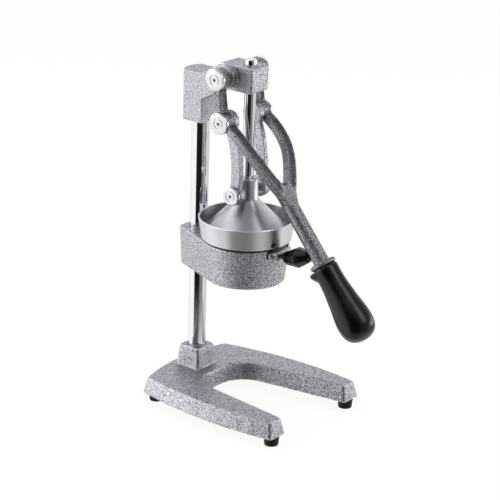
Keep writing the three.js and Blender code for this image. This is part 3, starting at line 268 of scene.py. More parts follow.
class Finishes(bpy.types.PropertyGroup):
    """Colours and surface qualities."""

    enamel_light: paint("Enamel, light", "Domes of the hammertone paint", (0.565, 0.565, 0.6))
    enamel_dark: paint("Enamel, dark", "Veins of the hammertone paint", (0.1, 0.1, 0.11))
    # Painted shade: the enamel's colours darkened for the whole lever
    painted_shade_lever_light: paint("Lever, light", "The paint's domes on the lever", (0.37, 0.37, 0.39))
    painted_shade_lever_dark: paint("Lever, dark", "The paint's veins on the lever", (0.03, 0.03, 0.033))
    # Bare metal at worn edges, also a painted highlight along them
    bare_tint: paint("Bare edge", "Metal that shows at edges rubbed bare", (0.78, 0.78, 0.8))
    # Painted shade: the enamel's colours darkened for the lever's recesses
    shade_light: paint("Recess, light", "The paint's domes in the recesses", (0.15, 0.15, 0.16))
    shade_dark: paint("Recess, dark", "The paint's veins in the recesses", (0.02, 0.02, 0.022))
    enamel_cell: distance("Enamel cell", "Distance between two veins of the paint", 1.5)
    chrome_tint: paint("Chrome", "Colour of the chrome plate", (0.8, 0.8, 0.82))
    bolt_tint: paint("Bolts", "Colour of the bolts' chrome plate", (0.72, 0.72, 0.73))
    aluminium_tint: paint("Aluminium", "Colour of the turned cup", (0.66, 0.66, 0.68))
    steel_tint: paint("Steel", "Colour of the strainer and the funnel", (0.60, 0.60, 0.62))
    zinc_tint: paint("Zinc", "Colour of the plated screws", (0.48, 0.49, 0.52))
    # Polished lip, brightened past the aluminium as a painted highlight
    lip_highlight_tint: paint("Lip", "Colour of the cup's polished lip", (0.92, 0.92, 0.93))
    rubber_tint: paint("Rubber", "Colour of the feet", (0.006, 0.006, 0.0065))
    plastic_tint: paint("Plastic", "Colour of the grips", (0.004, 0.004, 0.0045))
    plastic_rough: share("Plastic roughness", "Roughness of the grips", 0.24)


class StageSizes(bpy.types.PropertyGroup):
    """Camera, lamps and floor."""

    azimuth: angle("Azimuth", "The camera's turn from the front", -52.18)
    elevation: angle("Elevation", "The camera's height angle", 19.56)
    roll: angle("Roll", "The camera's roll", 1.56)
    reach: metres("Distance", "From the camera to the point it aims at", 2.599)
    aim: FloatVectorProperty(
        name="Aim",
        description="The point the camera aims at",
        default=(0, 0.0354, 0.1996),
        subtype="TRANSLATION",
    )
    lens: FloatProperty(
        name="Lens", description="Focal length in millimetres", default=156.74, unit="CAMERA"
    )
    floor_side: metres("Floor", "Side of the floor", 14)
    ceiling: glow("Ceiling", "How bright the studio's ceiling is", 0.5)
    ground: glow("Ground", "How bright the studio's ground is", 0.55)
    with_floor: BoolProperty(
        name="Floor shown", description="Whether the floor is built", default=True
    )


# Shader maths


class Signal:
    """One value in a node tree. Python's operators on it add Math nodes."""

    def __init__(self, recipe, socket):
        self.recipe = recipe
        self.socket = socket

    def join(self, operation, *values):
        """The outcome of a Math node on these values."""
        return self.recipe.node("Math", dict(enumerate(values)), operation=operation)["Value"]

    def __add__(self, other):
        return self.join("ADD", self, other)

    def __sub__(self, other):
        return self.join("SUBTRACT", self, other)

    def __mul__(self, other):
        return self.join("MULTIPLY", self, other)

    def __pow__(self, other):
        return self.join("POWER", self, other)

    def __rsub__(self, other):
        return self.join("SUBTRACT", other, self)

    def __neg__(self):
        return self * -1.0

    __radd__ = __add__
    __rmul__ = __mul__

    def over(self, low, high):
        """0 below low, 1 above high, and a smooth step between."""
        values = {"Value": self, "From Min": low, "From Max": high}
        return self.recipe.node("MapRange", values, interpolation_type="SMOOTHSTEP")["Result"]


class Outputs:
    """A node's outputs by name, as signals."""

    def __init__(self, recipe, node):
        self.recipe = recipe
        self.node = node

    def __getitem__(self, name):
        return Signal(self.recipe, self.node.outputs[name])


class Recipe:
    """A node tree being written: a material's, or the world's."""

    def __init__(self, tree):
        self.tree = tree
        tree.nodes.clear()

    def node(self, kind, values=None, **settings):
        """Adds a shader node with its settings, and feeds its inputs by name or number."""
        node = self.tree.nodes.new("ShaderNode" + kind)
        for name, value in settings.items():
            setattr(node, name, value)
        for name, value in (values or {}).items():
            self.feed(node.inputs[name], value)
        return Outputs(self, node)

    def feed(self, socket, value):
        """Links a signal to an input, or sets the input to a constant."""
        if isinstance(value, Signal):
            self.tree.links.new(value.socket, socket)
        elif hasattr(value, "__len__") and len(value) == 3 and len(socket.default_value) == 4:
            socket.default_value = (*value, 1)
        else:
            socket.default_value = value

    def place(self, scale=(1, 1, 1), shift=(0, 0, 0)):
        """The piece's own coordinates, in metres before the scale."""
        coords = self.node("TexCoord")["Object"]
        values = {"Vector": coords, "Location": shift, "Scale": scale}
        return self.node("Mapping", values)["Vector"]

    def vector(self, x, y=0.0, z=0.0):
        """A vector from its parts."""
        return self.node("CombineXYZ", {"X": x, "Y": y, "Z": z})["Vector"]

    def noise(self, vector, scale, detail=2.0, roughness=0.5):
        """A cloudy pattern from 0 to 1."""
        values = {"Vector": vector, "Scale": scale, "Detail": detail, "Roughness": roughness}
        return self.node("TexNoise", values)["Fac"]

    def blend(self, mask, low, high):
        """A colour that goes from low to high as the mask goes from 0 to 1."""
        node = self.node("Mix", data_type="RGBA")
        for place, value in ((0, mask), (6, low), (7, high)):
            self.feed(node.node.inputs[place], value)
        return Signal(self, node.node.outputs[2])

    def mix(self, mask, first, second):
        """A shader that goes from the first to the second as the mask goes from 0 to 1."""
        return self.node("MixShader", {0: mask, 1: first, 2: second})["Shader"]

    def bump(self, height, depth, strength):
        """Relief of this depth in metres."""
        values = {"Height": height, "Distance": depth, "Strength": strength}
        return self.node("Bump", values)["Normal"]

    def surface(self, **values):
        """The finished surface, from the shader's sockets by name."""
        named = {}
        for name, value in values.items():
            named[name.replace("_", " ").title().replace("Ior", "IOR")] = value
        shader = self.node("BsdfPrincipled", named)
        self.node("OutputMaterial", {"Surface": shader["BSDF"]})


def dimmed(tint, factor, lift=0.0):
    """A colour times a factor, lifted by a little grey."""
    return tuple(channel * factor + lift for channel in tint)


def new_recipe(name):
    """A new material and its empty recipe."""
    material = bpy.data.materials.new(name)
    material.use_nodes = True
    return material, Recipe(material.node_tree)


def hammertone(recipe, light, dark):
    """Enamel that drew up into domes with darker veins between them, worn bare along edges, which
    also serve as a painted highlight there.
    """
    finish = bpy.context.scene.press_finishes
    place = recipe.place()
    scale = 1 / finish.enamel_cell
    veins = recipe.noise(place, scale, roughness=0.55)
    fine = recipe.noise(recipe.place(shift=(0.13, 0.07, 0.05)), scale * 2.3)
    cloud = recipe.noise(place, CLOUDS)
    dome = (veins * 0.75 + fine * 0.25).over(0.38, 0.54)
    worn = recipe.noise(place, WORN_PATCHES, detail=3.0).over(0.62, 0.8)
    mottle = dome * (0.94 + cloud * 0.12) * (1 - worn * 0.15)
    edge = recipe.node("Attribute", attribute_name=EDGE)["Fac"]
    # Edges brightened towards bare metal: partly wear, partly painted highlight
    spots = recipe.noise(place, WORN_AND_HIGHLIT_SPOTS, 3.0, 0.6).over(0.36, 0.56)
    wear_and_highlight = edge.over(0.05, 0.16) * (spots * 0.6 + 0.1)
    recipe.surface(
        base_color=recipe.blend(wear_and_highlight, recipe.blend(mottle, dark, light), finish.bare_tint),
        metallic=0.92,
        roughness=0.4 - 0.12 * dome + 0.06 * cloud - 0.08 * wear_and_highlight,
        coat_weight=0.1,
        coat_roughness=0.2,
        normal=recipe.bump(veins * 0.8 + fine * 0.2, depth=0.0012, strength=0.8),
    )


def plated(recipe, tint, rough, grain, streak=(1, 1, 1)):
    """A plated bar: mirror bright, with faint hairlines and handling marks."""
    lines = recipe.noise(recipe.place(scale=streak), grain, 4.0, 0.6)
    marks = recipe.noise(recipe.place(), HANDLING_MARKS, detail=3.0)
    recipe.surface(
        base_color=recipe.blend(marks.over(0.3, 0.75), tint, dimmed(tint, 0.95)),
        metallic=1.0,
        roughness=rough + rough * 0.9 * lines + marks * 0.01,
        normal=recipe.bump(lines, depth=0.000004, strength=0.35),
    )


def turned_metal(recipe, tint, rough, groove, streaks, dished=False):
    """Metal turned round the guide rod's axis: fine rings, and soft rays that fan out, partly grain
    and partly painted reflection.

    On the dished cup the lip is polished and brightened as a painted highlight, and the inside of
    the wall is darkened as painted shade.
    """
    place = recipe.place(shift=(0, -ROD_Y, 0))
    parts = recipe.node("SeparateXYZ", {"Vector": place})
    x, y, z = parts["X"], parts["Y"], parts["Z"]
    radius = (x * x + y * y) ** 0.5
    rings = recipe.noise(recipe.vector(radius, z), 1 / groove, 3.0, 0.7)
    # Streaks round the axis: partly the turning's grain, partly painted reflection of bright and
    # dark sectors
    streak = recipe.noise(recipe.vector(x.join("ARCTAN2", y, x)), streaks, 3.0, 0.6)
    marks = recipe.noise(place, SWIRLS, detail=3.0)
    mottle = (rings * 0.6 + streak * 0.4).over(0.3, 0.7)
    colour = recipe.blend(mottle, dimmed(tint, 0.86), tint)
    polish_and_highlight = 0.0
    if dished:
        cup = bpy.context.scene.press_cup
        low = ends("press_cup")[0]
        rim, inner = low + cup.height, cup.rim - cup.lip
        # The lip: polished, and brightened as a painted highlight line
        foot, soft = rim - 0.0008, 0.0002
        polish_and_highlight = radius.over(inner - soft, inner + soft) * z.over(foot - soft, foot + soft)
        # Painted shade: the inside of the dish's wall darkened to a third
        outer = (z - low) * ((cup.rim - cup.foot) / cup.height) + cup.foot
        painted_dish_shade = (outer - radius).over(0.0008, 0.0014) * radius.over(cup.cone, cup.cone + 0.001)
        colour = recipe.blend(painted_dish_shade, colour, dimmed(tint, 0.3))
        colour = recipe.blend(polish_and_highlight, colour, bpy.context.scene.press_finishes.lip_highlight_tint)
    recipe.surface(
        base_color=colour,
        metallic=1.0,
        roughness=rings * 0.12 + marks * 0.05 + (rough - polish_and_highlight * 0.1),
        anisotropic=0.75,
        anisotropic_rotation=0.25,
        normal=recipe.bump(rings, depth=0.00001, strength=0.3),
    )


def moulded(recipe, tint, rough, grain):
    """Black moulding with a fine grain and the odd scuff."""
    place = recipe.place()
    fine = recipe.noise(place, grain, 3.0, 0.6)
    worn = recipe.noise(place, SCUFFED_PATCHES, 4.0, 0.65).over(0.5, 0.85)
    scuffs = recipe.noise(recipe.place(scale=(1, 0.15, 1)), SCUFFS).over(0.62, 0.8)
    recipe.surface(
        base_color=recipe.blend(worn * 0.6 + scuffs * 0.3, tint, dimmed(tint, 2.6, 0.004)),
        metallic=0.0,
        roughness=rough + worn * 0.08 + scuffs * 0.06,
        specular_ior_level=0.4,
        normal=recipe.bump(fine * 0.7 + scuffs * 0.3, depth=0.00003, strength=0.5),
    )


PAINT = "hammertone_paint"

# Each finish: its material, its slot, its maker, what that takes from the panel, and what else it
# needs, with grains in cells per metre and grooves in metres
FINISHES = {
    "hammertone": ("hammertone enamel", PAINT, hammertone, ("enamel_light", "enamel_dark"), {}),
    # Painted shade: the enamel with the lever's darker colours
    "lever paint with painted shade": (
        "hammertone enamel on the lever", PAINT, hammertone, ("painted_shade_lever_light", "painted_shade_lever_dark"), {},
    ),
    # Painted shade: the enamel with the darker recess colours
    "recess": (
        "hammertone enamel in recesses", PAINT, hammertone, ("shade_light", "shade_dark"), {},
    ),
    "chrome": (
        "chrome plate", "chrome", plated, ("chrome_tint",),
        {"rough": 0.025, "grain": 900.0, "streak": (1, 1, 0.04)},
    ),
    "bolt chrome": (
        "bolt chrome", "chrome", plated, ("bolt_tint",), {"rough": 0.12, "grain": 700.0},
    ),
    "aluminium": (
        "turned aluminium", "aluminium", turned_metal, ("aluminium_tint",),
        {"rough": 0.3, "groove": 0.0006, "streaks": 2.2, "dished": True},
    ),
    "stainless": (
        "brushed steel", "stainless", turned_metal, ("steel_tint",),
        {"rough": 0.24, "groove": 0.0005, "streaks": 3.0},
    ),
    "zinc": ("zinc plate", "zinc_steel", plated, ("zinc_tint",), {"rough": 0.28, "grain": 500.0}),
    "rubber": (
        "foot rubber", "rubber", moulded, ("rubber_tint",), {"rough": 0.72, "grain": 2600.0},
    ),
    "plastic": (
        "grip plastic", "black_plastic", moulded, ("plastic_tint", "plastic_rough"),
        {"grain": 1500.0},
    ),
}

MATERIALS = {}


def finish_of(finish):
    """The material for a finish, made when it is first asked for."""
    if finish not in MATERIALS:
        name, _, maker, picked, rest = FINISHES[finish]
        panel = bpy.context.scene.press_finishes
        MATERIALS[finish], recipe = new_recipe(name)
        maker(recipe, *(getattr(panel, value) for value in picked), **rest)
    return MATERIALS[finish]


# Handwork: selecting, turning, casting and cutting


def leave_edit():
    """Goes back to object mode."""
    bpy.ops.object.mode_set(mode="OBJECT")


def drop_all():
    """Leaves edit mode and selects nothing."""
    if bpy.context.object and bpy.context.object.mode != "OBJECT":
        leave_edit()
    bpy.ops.object.select_all(action="DESELECT")


def pick(piece):
    """Selects a piece and nothing else, and makes it active."""
    drop_all()
    piece.select_set(True)
    bpy.context.view_layer.objects.active = piece


def edit(piece):
    """Enters a piece's edit mode with all its vertices selected."""
    pick(piece)
    bpy.ops.object.mode_set(mode="EDIT")
    bpy.ops.mesh.select_mode(type="VERT")
    bpy.ops.mesh.select_all(action="SELECT")


def settle(piece):
    """Puts a piece's place and turn into its mesh."""
    pick(piece)
    bpy.ops.object.transform_apply(location=True, rotation=True, scale=True)


def apply_modifier(piece, kind, **settings):
    """Adds a modifier to a piece and applies it."""
    pick(piece)
    modifier = piece.modifiers.new(kind.lower(), kind)
    for name, value in settings.items():
        setattr(modifier, name, value)
    bpy.ops.object.modifier_apply(modifier=modifier.name)


def break_edges(piece, width, segments, degrees):
    """Bevels the edges that are sharper than an angle."""
    limit = {"limit_method": "ANGLE", "angle_limit": math.radians(degrees)}
    apply_modifier(piece, "BEVEL", width=width, segments=segments, **limit)


def smooth(piece, degrees=32.0):
    """Shades a piece smooth, save for the edges that are sharper than an angle."""
    pick(piece)
    bpy.ops.object.shade_smooth_by_angle(angle=math.radians(degrees))


def finish_piece(piece, finish, body, node):
    """Gives a piece its finish and its body, and lets it stand for a frame node."""
    piece.data.materials.clear()
    piece.data.materials.append(finish_of(finish))
    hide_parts(node)
    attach(piece, body)


def turned(name, origin, axis, side, profile, steps, round_off=0.0):
    """A turned piece, from a profile of (radius, distance along the axis from the origin)."""
    points = [origin + axis * along + side * radius for radius, along in profile]
    drop_all()
    bpy.ops.mesh.primitive_plane_add(size=MM, location=points[0])
    piece = bpy.context.object
    piece.name = name
    settle(piece)
    edit(piece)
    bpy.ops.mesh.merge(type="CENTER")
    for before, after in zip(points, points[1:]):
        bpy.ops.mesh.extrude_region_move(TRANSFORM_OT_translate={"value": after - before})
    bpy.ops.mesh.select_all(action="SELECT")
    bpy.ops.mesh.spin(steps=steps, angle=math.tau, center=origin, axis=axis)
    bpy.ops.mesh.select_all(action="SELECT")
    bpy.ops.mesh.remove_doubles(threshold=MERGE)
    bpy.ops.mesh.normals_make_consistent(inside=False)
    leave_edit()
    if round_off:
        break_edges(piece, round_off, segments=2, degrees=28)
    smooth(piece)
    return piece


def copied(piece, name, turn):
    """A copy of a piece with its own mesh, moved by a matrix."""
    pick(piece)
    bpy.ops.object.duplicate(linked=False)
    copy = bpy.context.object
    copy.name = name
    copy.matrix_world = turn
    settle(copy)
    return copy


def cut_out(piece, cutter):
    """Cuts the cutter's shape out of a piece and removes the cutter."""
    before = len(piece.data.vertices)
    apply_modifier(piece, "BOOLEAN", operation="DIFFERENCE", solver="EXACT", object=cutter)
    bpy.data.objects.remove(cutter)
    if len(piece.data.vertices) == before:
        raise RuntimeError(f"Nothing was cut out of {piece.name}")


def drill(piece, sides, radius, depth, place, turn):
    """Cuts a round or a many-sided hole into a piece."""
    drop_all()
    bpy.ops.mesh.primitive_cylinder_add(
        vertices=sides, radius=radius, depth=depth, location=place, rotation=turn
    )
    cut_out(piece, bpy.context.object)
    smooth(piece)


def copy_of_node(node, name):
    """A merged copy of a frame node, free of the frame."""
    source = frame["nodes"][node]
    pick(source)
    bpy.ops.object.duplicate(linked=False)
    piece = bpy.context.object
    piece.name = name
    piece.parent = None
    piece.matrix_world = Matrix.Identity(4)
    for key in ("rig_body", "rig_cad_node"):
        if key in piece:
            del piece[key]
    edit(piece)
    bpy.ops.mesh.remove_doubles(threshold=FRAME_MERGE)
    leave_edit()
    return piece


def casting(node, name, grain, rounding):
    """A casting with softened edges, poured over the frame node's shape."""
    piece = copy_of_node(node, name)
    apply_modifier(piece, "REMESH", mode="VOXEL", voxel_size=grain, adaptivity=0.0)
    apply_modifier(piece, "SMOOTH", factor=0.5, iterations=rounding)
    if not piece.data.polygons:
        raise RuntimeError(f"{name} came out empty; its mesh cells may be too large")
    mark_edges(piece)
    pick(piece)
    bpy.ops.object.shade_smooth()
    return piece


def mark_edges(piece):
    """Notes at each vertex how far it stands out, which the paint's wear and the painted edge
    highlight follow.
    """
    mesh = piece.data
    places, normals = np.empty((2, len(mesh.vertices), 3), np.float32)
    mesh.vertices.foreach_get("co", places.ravel())
    mesh.vertices.foreach_get("normal", normals.ravel())
    lines = np.empty((len(mesh.edges), 2), np.int32)
    mesh.edges.foreach_get("vertices", lines.ravel())
    first, second = lines.T
    ways = places[second] - places[first]
    ways /= np.linalg.norm(ways, axis=1, keepdims=True)
    total = len(places)
    neighbours = np.bincount(lines.ravel(), minlength=total)
    edge = np.bincount(second, (ways * normals[second]).sum(axis=1), total)
    edge = (edge - np.bincount(first, (ways * normals[first]).sum(axis=1), total)) / neighbours
    around = np.bincount(first, edge[second], total) + np.bincount(second, edge[first], total)
    edge = (edge + around / neighbours) / 2
    mesh.attributes.new(EDGE, "FLOAT", "POINT").data.foreach_set("value", edge.astype(np.float32))


# The pieces


class PressOperator(bpy.types.Operator):
    """Common ground of the press's operators."""

    bl_options = {"REGISTER", "UNDO"}

    def execute(self, context):
        self.make(context.scene)
        return {"FINISHED"}


class BuildCastings(PressOperator):
    """Builds the base, the head, the bowl holder, the fork lever and its two links."""

    bl_idname = "press.build_castings"
    bl_label = "Castings"

    def make(self, scene):
        sizes = scene.press_casts
        castings = (
            ("base_casting", "base_casting_cast", "hammertone", "frame", sizes.base_grain),
            ("head_casting", "head_casting_cast", "hammertone", "frame", sizes.head_grain),
            ("bowl_holder", "bowl_holder_cast", "hammertone", "frame", sizes.head_grain),
            # The lever gets the enamel darkened as painted shade
            ("lever_fork", "fork_lever_cast", "lever paint with painted shade", "lever", sizes.lever_grain),
            ("link_left", "left_link_cast", "hammertone", "link_left", sizes.lever_grain),
            ("link_right", "right_link_cast", "hammertone", "link_right", sizes.lever_grain),
        )
        for node, name, finish, body, grain in castings:
            piece = casting(node, name, grain, sizes.rounding)
            finish_piece(piece, finish, body, node)
            if node == "lever_fork":
                self.paint_recess_shade(piece, sizes)

    def paint_recess_shade(self, piece, sizes):
        """Paints shade into the arms' recesses with a darker copy of the enamel: floors that look
        ahead, and their rims.
        """
        mesh = piece.data
        # The second slot holds the enamel darkened as painted shade
        mesh.materials.append(finish_of("recess"))
        ahead = Vector((0, -math.sin(sizes.lever_slope), math.cos(sizes.lever_slope)))
        squarely = 0.72
        solid = BVHTree.FromPolygons(
            [vertex.co for vertex in mesh.vertices],
            [tuple(face.vertices) for face in mesh.polygons],
        )
        facing = [
            face
            for face in mesh.polygons
            if face.normal.dot(ahead) > squarely and abs(face.center.x) > sizes.recess_start
        ]
        floors = [
            face.center for face in facing if self.between_rims(face, solid, sizes.recess_reach)
        ]
        if not floors:
            raise RuntimeError("The lever's recesses weren't found")
        near = KDTree(len(floors))
        for number, place in enumerate(floors):
            near.insert(place, number)
        near.balance()
        for face in facing:
            if near.find(face.center)[2] < sizes.rim_width:
                face.material_index = 1

    def between_rims(self, face, solid, reach):
        """Whether most ways along the face's own plane soon meet the casting again."""
        lift, rays = 0.0008, 8
        start = face.center + face.normal * lift
        side = face.normal.cross(ACROSS).normalized()
        met = 0
        for step in range(rays):
            way = Matrix.Rotation(math.tau * step / rays, 3, face.normal) @ side
            met += solid.ray_cast(start, way, reach)[0] is not None
        return met > rays / 2


class BuildBars(PressOperator):
    """Builds the column, the guide rod and the two spacers beside the head."""

    bl_idname = "press.build_bars"
    bl_label = "Column, rod and spacers"

    def make(self, scene):
        sizes = scene.press_bars
        for node, radius, body in (
            ("column", sizes.column_radius, "frame"),
            ("guide_rod", sizes.rod_radius, "press"),
        ):
            low, high = ends(node)
            edge, dimple = sizes.chamfer, radius * 0.3
            profile = [
                (0, low), (radius - edge, low), (radius, low + edge), (radius, (low + high) / 2),
                (radius, high - edge), (radius - edge, high), (dimple, high), (0, high - edge),
            ]
            origin, round_off = Vector((0, middle(node).y, 0)), 0.0002
            piece = turned(node + "_bar", origin, UP, ACROSS, profile, sizes.facets, round_off)
            finish_piece(piece, "chrome", body, node)
        for side in ("left", "right"):
            node = "head_spacer_" + side
            low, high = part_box(node)
            inner, outer, edge = sizes.bolt_shank + FIT, sizes.spacer, 0.0005
            profile = [
                (inner, low.x), (outer - edge, low.x), (outer, low.x + edge),
                (outer, high.x - edge), (outer - edge, high.x), (inner, high.x), (inner, low.x),
            ]
            origin = Vector((0, middle(node).y, middle(node).z))
            piece = turned("spacer_" + side, origin, ACROSS, UP, profile, sizes.facets)
            finish_piece(piece, "bolt chrome", "frame", node)


class BuildBolts(PressOperator):
    """Builds the six pivot bolts, each with a ring groove and a six-sided key hole."""

    bl_idname = "press.build_bolts"
    bl_label = "Pivot bolts"

    def bolt(self, sizes, kind, shank, head, thick):
        """The right-hand bolt of a kind."""
        node = kind + "_right"
        low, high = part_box(node)
        face, shoulder = high.x, high.x - thick
        edge, point, ring = 0.0013, 0.0004, sizes.ring
        bank, bed, deep = 0.0002, 0.0009, 0.0008
        profile = [
            (0, low.x), (shank - point, low.x), (shank, low.x + point), (shank, shoulder),
            (head - edge / 2, shoulder), (head, shoulder + edge / 2), (head, face - edge),
            (head - edge * 0.3, face - edge * 0.3), (head - edge, face),
            (ring + bed + bank, face), (ring + bed, face - deep), (ring + bank, face - deep),
            (ring, face), (0, face),
        ]
        origin = Vector((0, middle(node).y, middle(node).z))
        piece = turned(kind + "_turned_right", origin, ACROSS, UP, profile, sizes.facets)
        mouth, turn = origin + ACROSS * face, (0, math.pi / 2, 0)
        drill(piece, 6, sizes.key, sizes.key_depth * 2, mouth, turn)
        return piece

    def make(self, scene):
        sizes = scene.press_bars
        upper = sizes.bolt_shank, sizes.bolt_head, sizes.bolt_head_thick
        lower = sizes.low_shank, sizes.low_head, sizes.low_head_thick
        for kind, body, measures in (
            ("head_pivot_bolt", "frame", upper),
            ("link_pivot_bolt", "lever", upper),
            ("cup_pivot_bolt", "press", lower),
        ):
            right = self.bolt(sizes, kind, *measures)
            centre = middle(kind + "_right")
            turn = Matrix.Translation((0, 2 * centre.y, 0)) @ Matrix.Rotation(math.pi, 4, "Z")
            left = copied(right, kind + "_turned_left", turn)
            finish_piece(right, "bolt chrome", body, kind + "_right")
            finish_piece(left, "bolt chrome", body, kind + "_left")


class BuildCup(PressOperator):
    """Builds the press cup: a turned bell with its vent hole, and two lugs beside the stem."""

    bl_idname = "press.build_cup"
    bl_label = "Press cup"

    def make(self, scene):
        cup = scene.press_cup
        bore = scene.press_bars.rod_radius + FIT
        low, top = ends("press_cup")
        rim, cone, seat = low + cup.height, low + cup.cone_foot, low + cup.stem_foot
        under = seat - cup.floor
        edge, corner, fillet = 0.0006, 0.001, 0.0012
        step, crown, hollow, through = 0.0008, 0.0004, 0.0055, 0.012
        profile = [
            (0, seat), (bore, seat), (bore, top - edge), (bore + edge, top),
            (cup.stem - corner, top), (cup.stem, top - corner), (cup.stem, seat + fillet),
            (cup.stem + fillet, seat - fillet), (cup.cone - fillet, cone + fillet * 0.6),
            (cup.cone, cone), (cup.cone + step, cone + step / 8),
            (cup.cone + cup.lip, cone + cup.lip),
            (cup.rim - cup.lip, rim - crown), (cup.rim - cup.lip * 0.7, rim),
            (cup.rim - cup.lip * 0.3, rim), (cup.rim, rim - edge), (cup.foot, low + step),
            (cup.foot - step, low), (cup.foot - cup.wall, low),
            (cup.cone - cup.wall, cone - hollow), (cup.stem - cup.wall, under), (0, under),
        ]
        origin = Vector((0, ROD_Y, 0))
        bell = turned("cup_bell", origin, UP, ACROSS, profile, steps=144)
        heading = Matrix.Rotation(cup.vent_turn, 4, "Z") @ Vector((0, -1, 0))
        mouth = origin + heading * cup.foot + UP * (low + cup.vent_height)
        drill(bell, 40, cup.vent, through, mouth, (math.pi / 2, 0, cup.vent_turn))
        finish_piece(bell, "aluminium", "press", "press_cup")
        pivot = middle("cup_pivot_bolt_right")
        for side, sign in (("left", -1), ("right", 1)):
            lug = self.lug(cup, pivot, sign, "cup_lug_" + side, under)
            finish_piece(lug, "aluminium", "press", "press_cup")

    def lug(self, cup, pivot, sign, name, foot):
        """A lug: a disc round the pivot, drawn down to the cone and made thick."""
        start = Vector((sign * cup.lug_inner, pivot.y, pivot.z))
        below = foot - cup.lug_radius
        drop_all()
        turn = (0, math.pi / 2, 0)
        bpy.ops.mesh.primitive_circle_add(
            vertices=48, radius=cup.lug_radius, fill_type="NGON", location=start, rotation=turn
        )
        piece = bpy.context.object
        piece.name = name
        settle(piece)
        for vertex in piece.data.vertices:
            vertex.select = vertex.co.z < pivot.z - HAIR
        pick(piece)
        bpy.ops.object.mode_set(mode="EDIT")
        bpy.ops.transform.resize(value=(1, 1, 0), center_override=(start.x, start.y, below))
        bpy.ops.mesh.select_all(action="SELECT")
        out = (sign * cup.lug_thick, 0, 0)
        bpy.ops.mesh.extrude_region_move(TRANSFORM_OT_translate={"value": out})
        bpy.ops.mesh.select_all(action="SELECT")
        bpy.ops.mesh.normals_make_consistent(inside=False)
        leave_edit()
        break_edges(piece, width=0.0008, segments=3, degrees=40)
        smooth(piece)
        return piece


# The bulb's outline and its neck, as shares of its largest radius and of its length
BULB = (
    (0.62, 0), (0.67, 0.004), (0.7, 0.014), (0.716, 0.04), (0.708, 0.07), (0.702, 0.1),
    (0.702, 0.14), (0.706, 0.18), (0.717, 0.23), (0.735, 0.28), (0.757, 0.325), (0.785, 0.37),
    (0.813, 0.42), (0.845, 0.48), (0.888, 0.535), (0.93, 0.59), (0.962, 0.635), (0.986, 0.68),
    (0.998, 0.72), (1, 0.76), (0.99, 0.8), (0.966, 0.84), (0.922, 0.874), (0.86, 0.905),
    (0.765, 0.934), (0.65, 0.957), (0.51, 0.976), (0.36, 0.99), (0.18, 0.998), (0, 1),
)
NECK = 0.717


class BuildGrips(PressOperator):
    """Builds the lever's bulb grip with its finger stop, and the faceted side grip."""

    bl_idname = "press.build_grips"
    bl_label = "Grips"

    def make(self, scene):
        grip = scene.press_grip
        along = Vector((0, -math.cos(grip.slope), -math.sin(grip.slope)))
        back = Vector((0, math.sin(grip.slope), -math.cos(grip.slope)))
        origin = self.tip(along) - along * grip.length
        profile = [(0, 0)]
        profile += [(radius * grip.radius, place * grip.length) for radius, place in BULB]
        bulb = turned("lever_grip_bulb", origin, along, ACROSS, profile, steps=96)
        self.add_stop(bulb, grip, origin, along, back)
        finish_piece(bulb, "plastic", "lever", "lever_grip")
        side = copy_of_node("side_grip", "side_grip_moulding")
        edit(side)
        bpy.ops.mesh.dissolve_limited(angle_limit=math.radians(0.5))
        leave_edit()
        break_edges(side, width=0.0009, segments=3, degrees=12)
        smooth(side)
        finish_piece(side, "plastic", "frame", "side_grip")

    def tip(self, along):
        """The point of the grip's axis that lies furthest along it."""
        places = [vertex.co for vertex in frame["nodes"]["lever_grip"].data.vertices]
        reach = max(place.dot(along) for place in places)
        last = [place for place in places if place.dot(along) > reach - HAIR]
        return sum(last, Vector()) / len(last)

    def add_stop(self, bulb, grip, origin, along, back):
        """Joins the finger stop: a ring of the neck's size, set off to the underside."""
        neck, reach, fade = NECK * grip.radius, grip.stop_reach, grip.stop_fade
        start, end = grip.stop_start, grip.stop_start + grip.stop_length
        profile = [
            (0, start), (neck - 0.0016, start), (neck - 0.0006, start + 0.0004),
            (neck, start + 0.0014), (neck, end - 0.0008), (neck - 0.0008, end + 0.0006),
            (neck - reach / 2, end + fade / 3), (neck - reach * 0.8, end + fade * 0.62),
            (neck - reach, end + fade), (0, end + fade),
        ]
        stop = turned("finger_stop", origin + back * reach, along, ACROSS, profile, steps=96)
        apply_modifier(bulb, "BOOLEAN", operation="UNION", solver="EXACT", object=stop)
        bpy.data.objects.remove(stop)
        mouth, end = -0.01, grip.bore_depth
        core = [(0, mouth), (grip.bore, mouth), (grip.bore, end), (0, end)]
        cut_out(bulb, turned("tang_bore", origin, along, ACROSS, core, steps=48))
        smooth(bulb, degrees=40)


class BuildFeet(PressOperator):
    """Builds the four rubber feet."""

    bl_idname = "press.build_feet"
    bl_label = "Feet"

    def make(self, scene):
        foot = scene.press_feet
        step, hole, edge = foot.height / 6, 0.0023, 0.0003
        profile = [
            (hole, foot.recess_depth), (foot.recess, foot.recess_depth), (foot.recess, 0.0004),
            (foot.recess + 0.0004, 0), (foot.sole - 0.0012, 0), (foot.sole - edge, 0.0004),
            (foot.sole, 0.0012), (foot.sole + edge, step * 2), (foot.top - 0.0006, step * 4.2),
            (foot.top, step * 4.6), (foot.top, foot.height - 0.0002),
            (foot.top - edge, foot.height), (hole, foot.height), (hole, foot.recess_depth),
        ]
        names = "foot_front_left", "foot_front_right", "foot_rear_left", "foot_rear_right"
        start = middle(names[0])
        origin = Vector((start.x, start.y, 0))
        first = turned("rubber_" + names[0], origin, UP, ACROSS, profile, steps=48)
        for name in names[1:]:
            shift = middle(name) - start
            turn = Matrix.Translation((shift.x, shift.y, 0))
            finish_piece(copied(first, "rubber_" + name, turn), "rubber", "frame", name)
        finish_piece(first, "rubber", "frame", names[0])


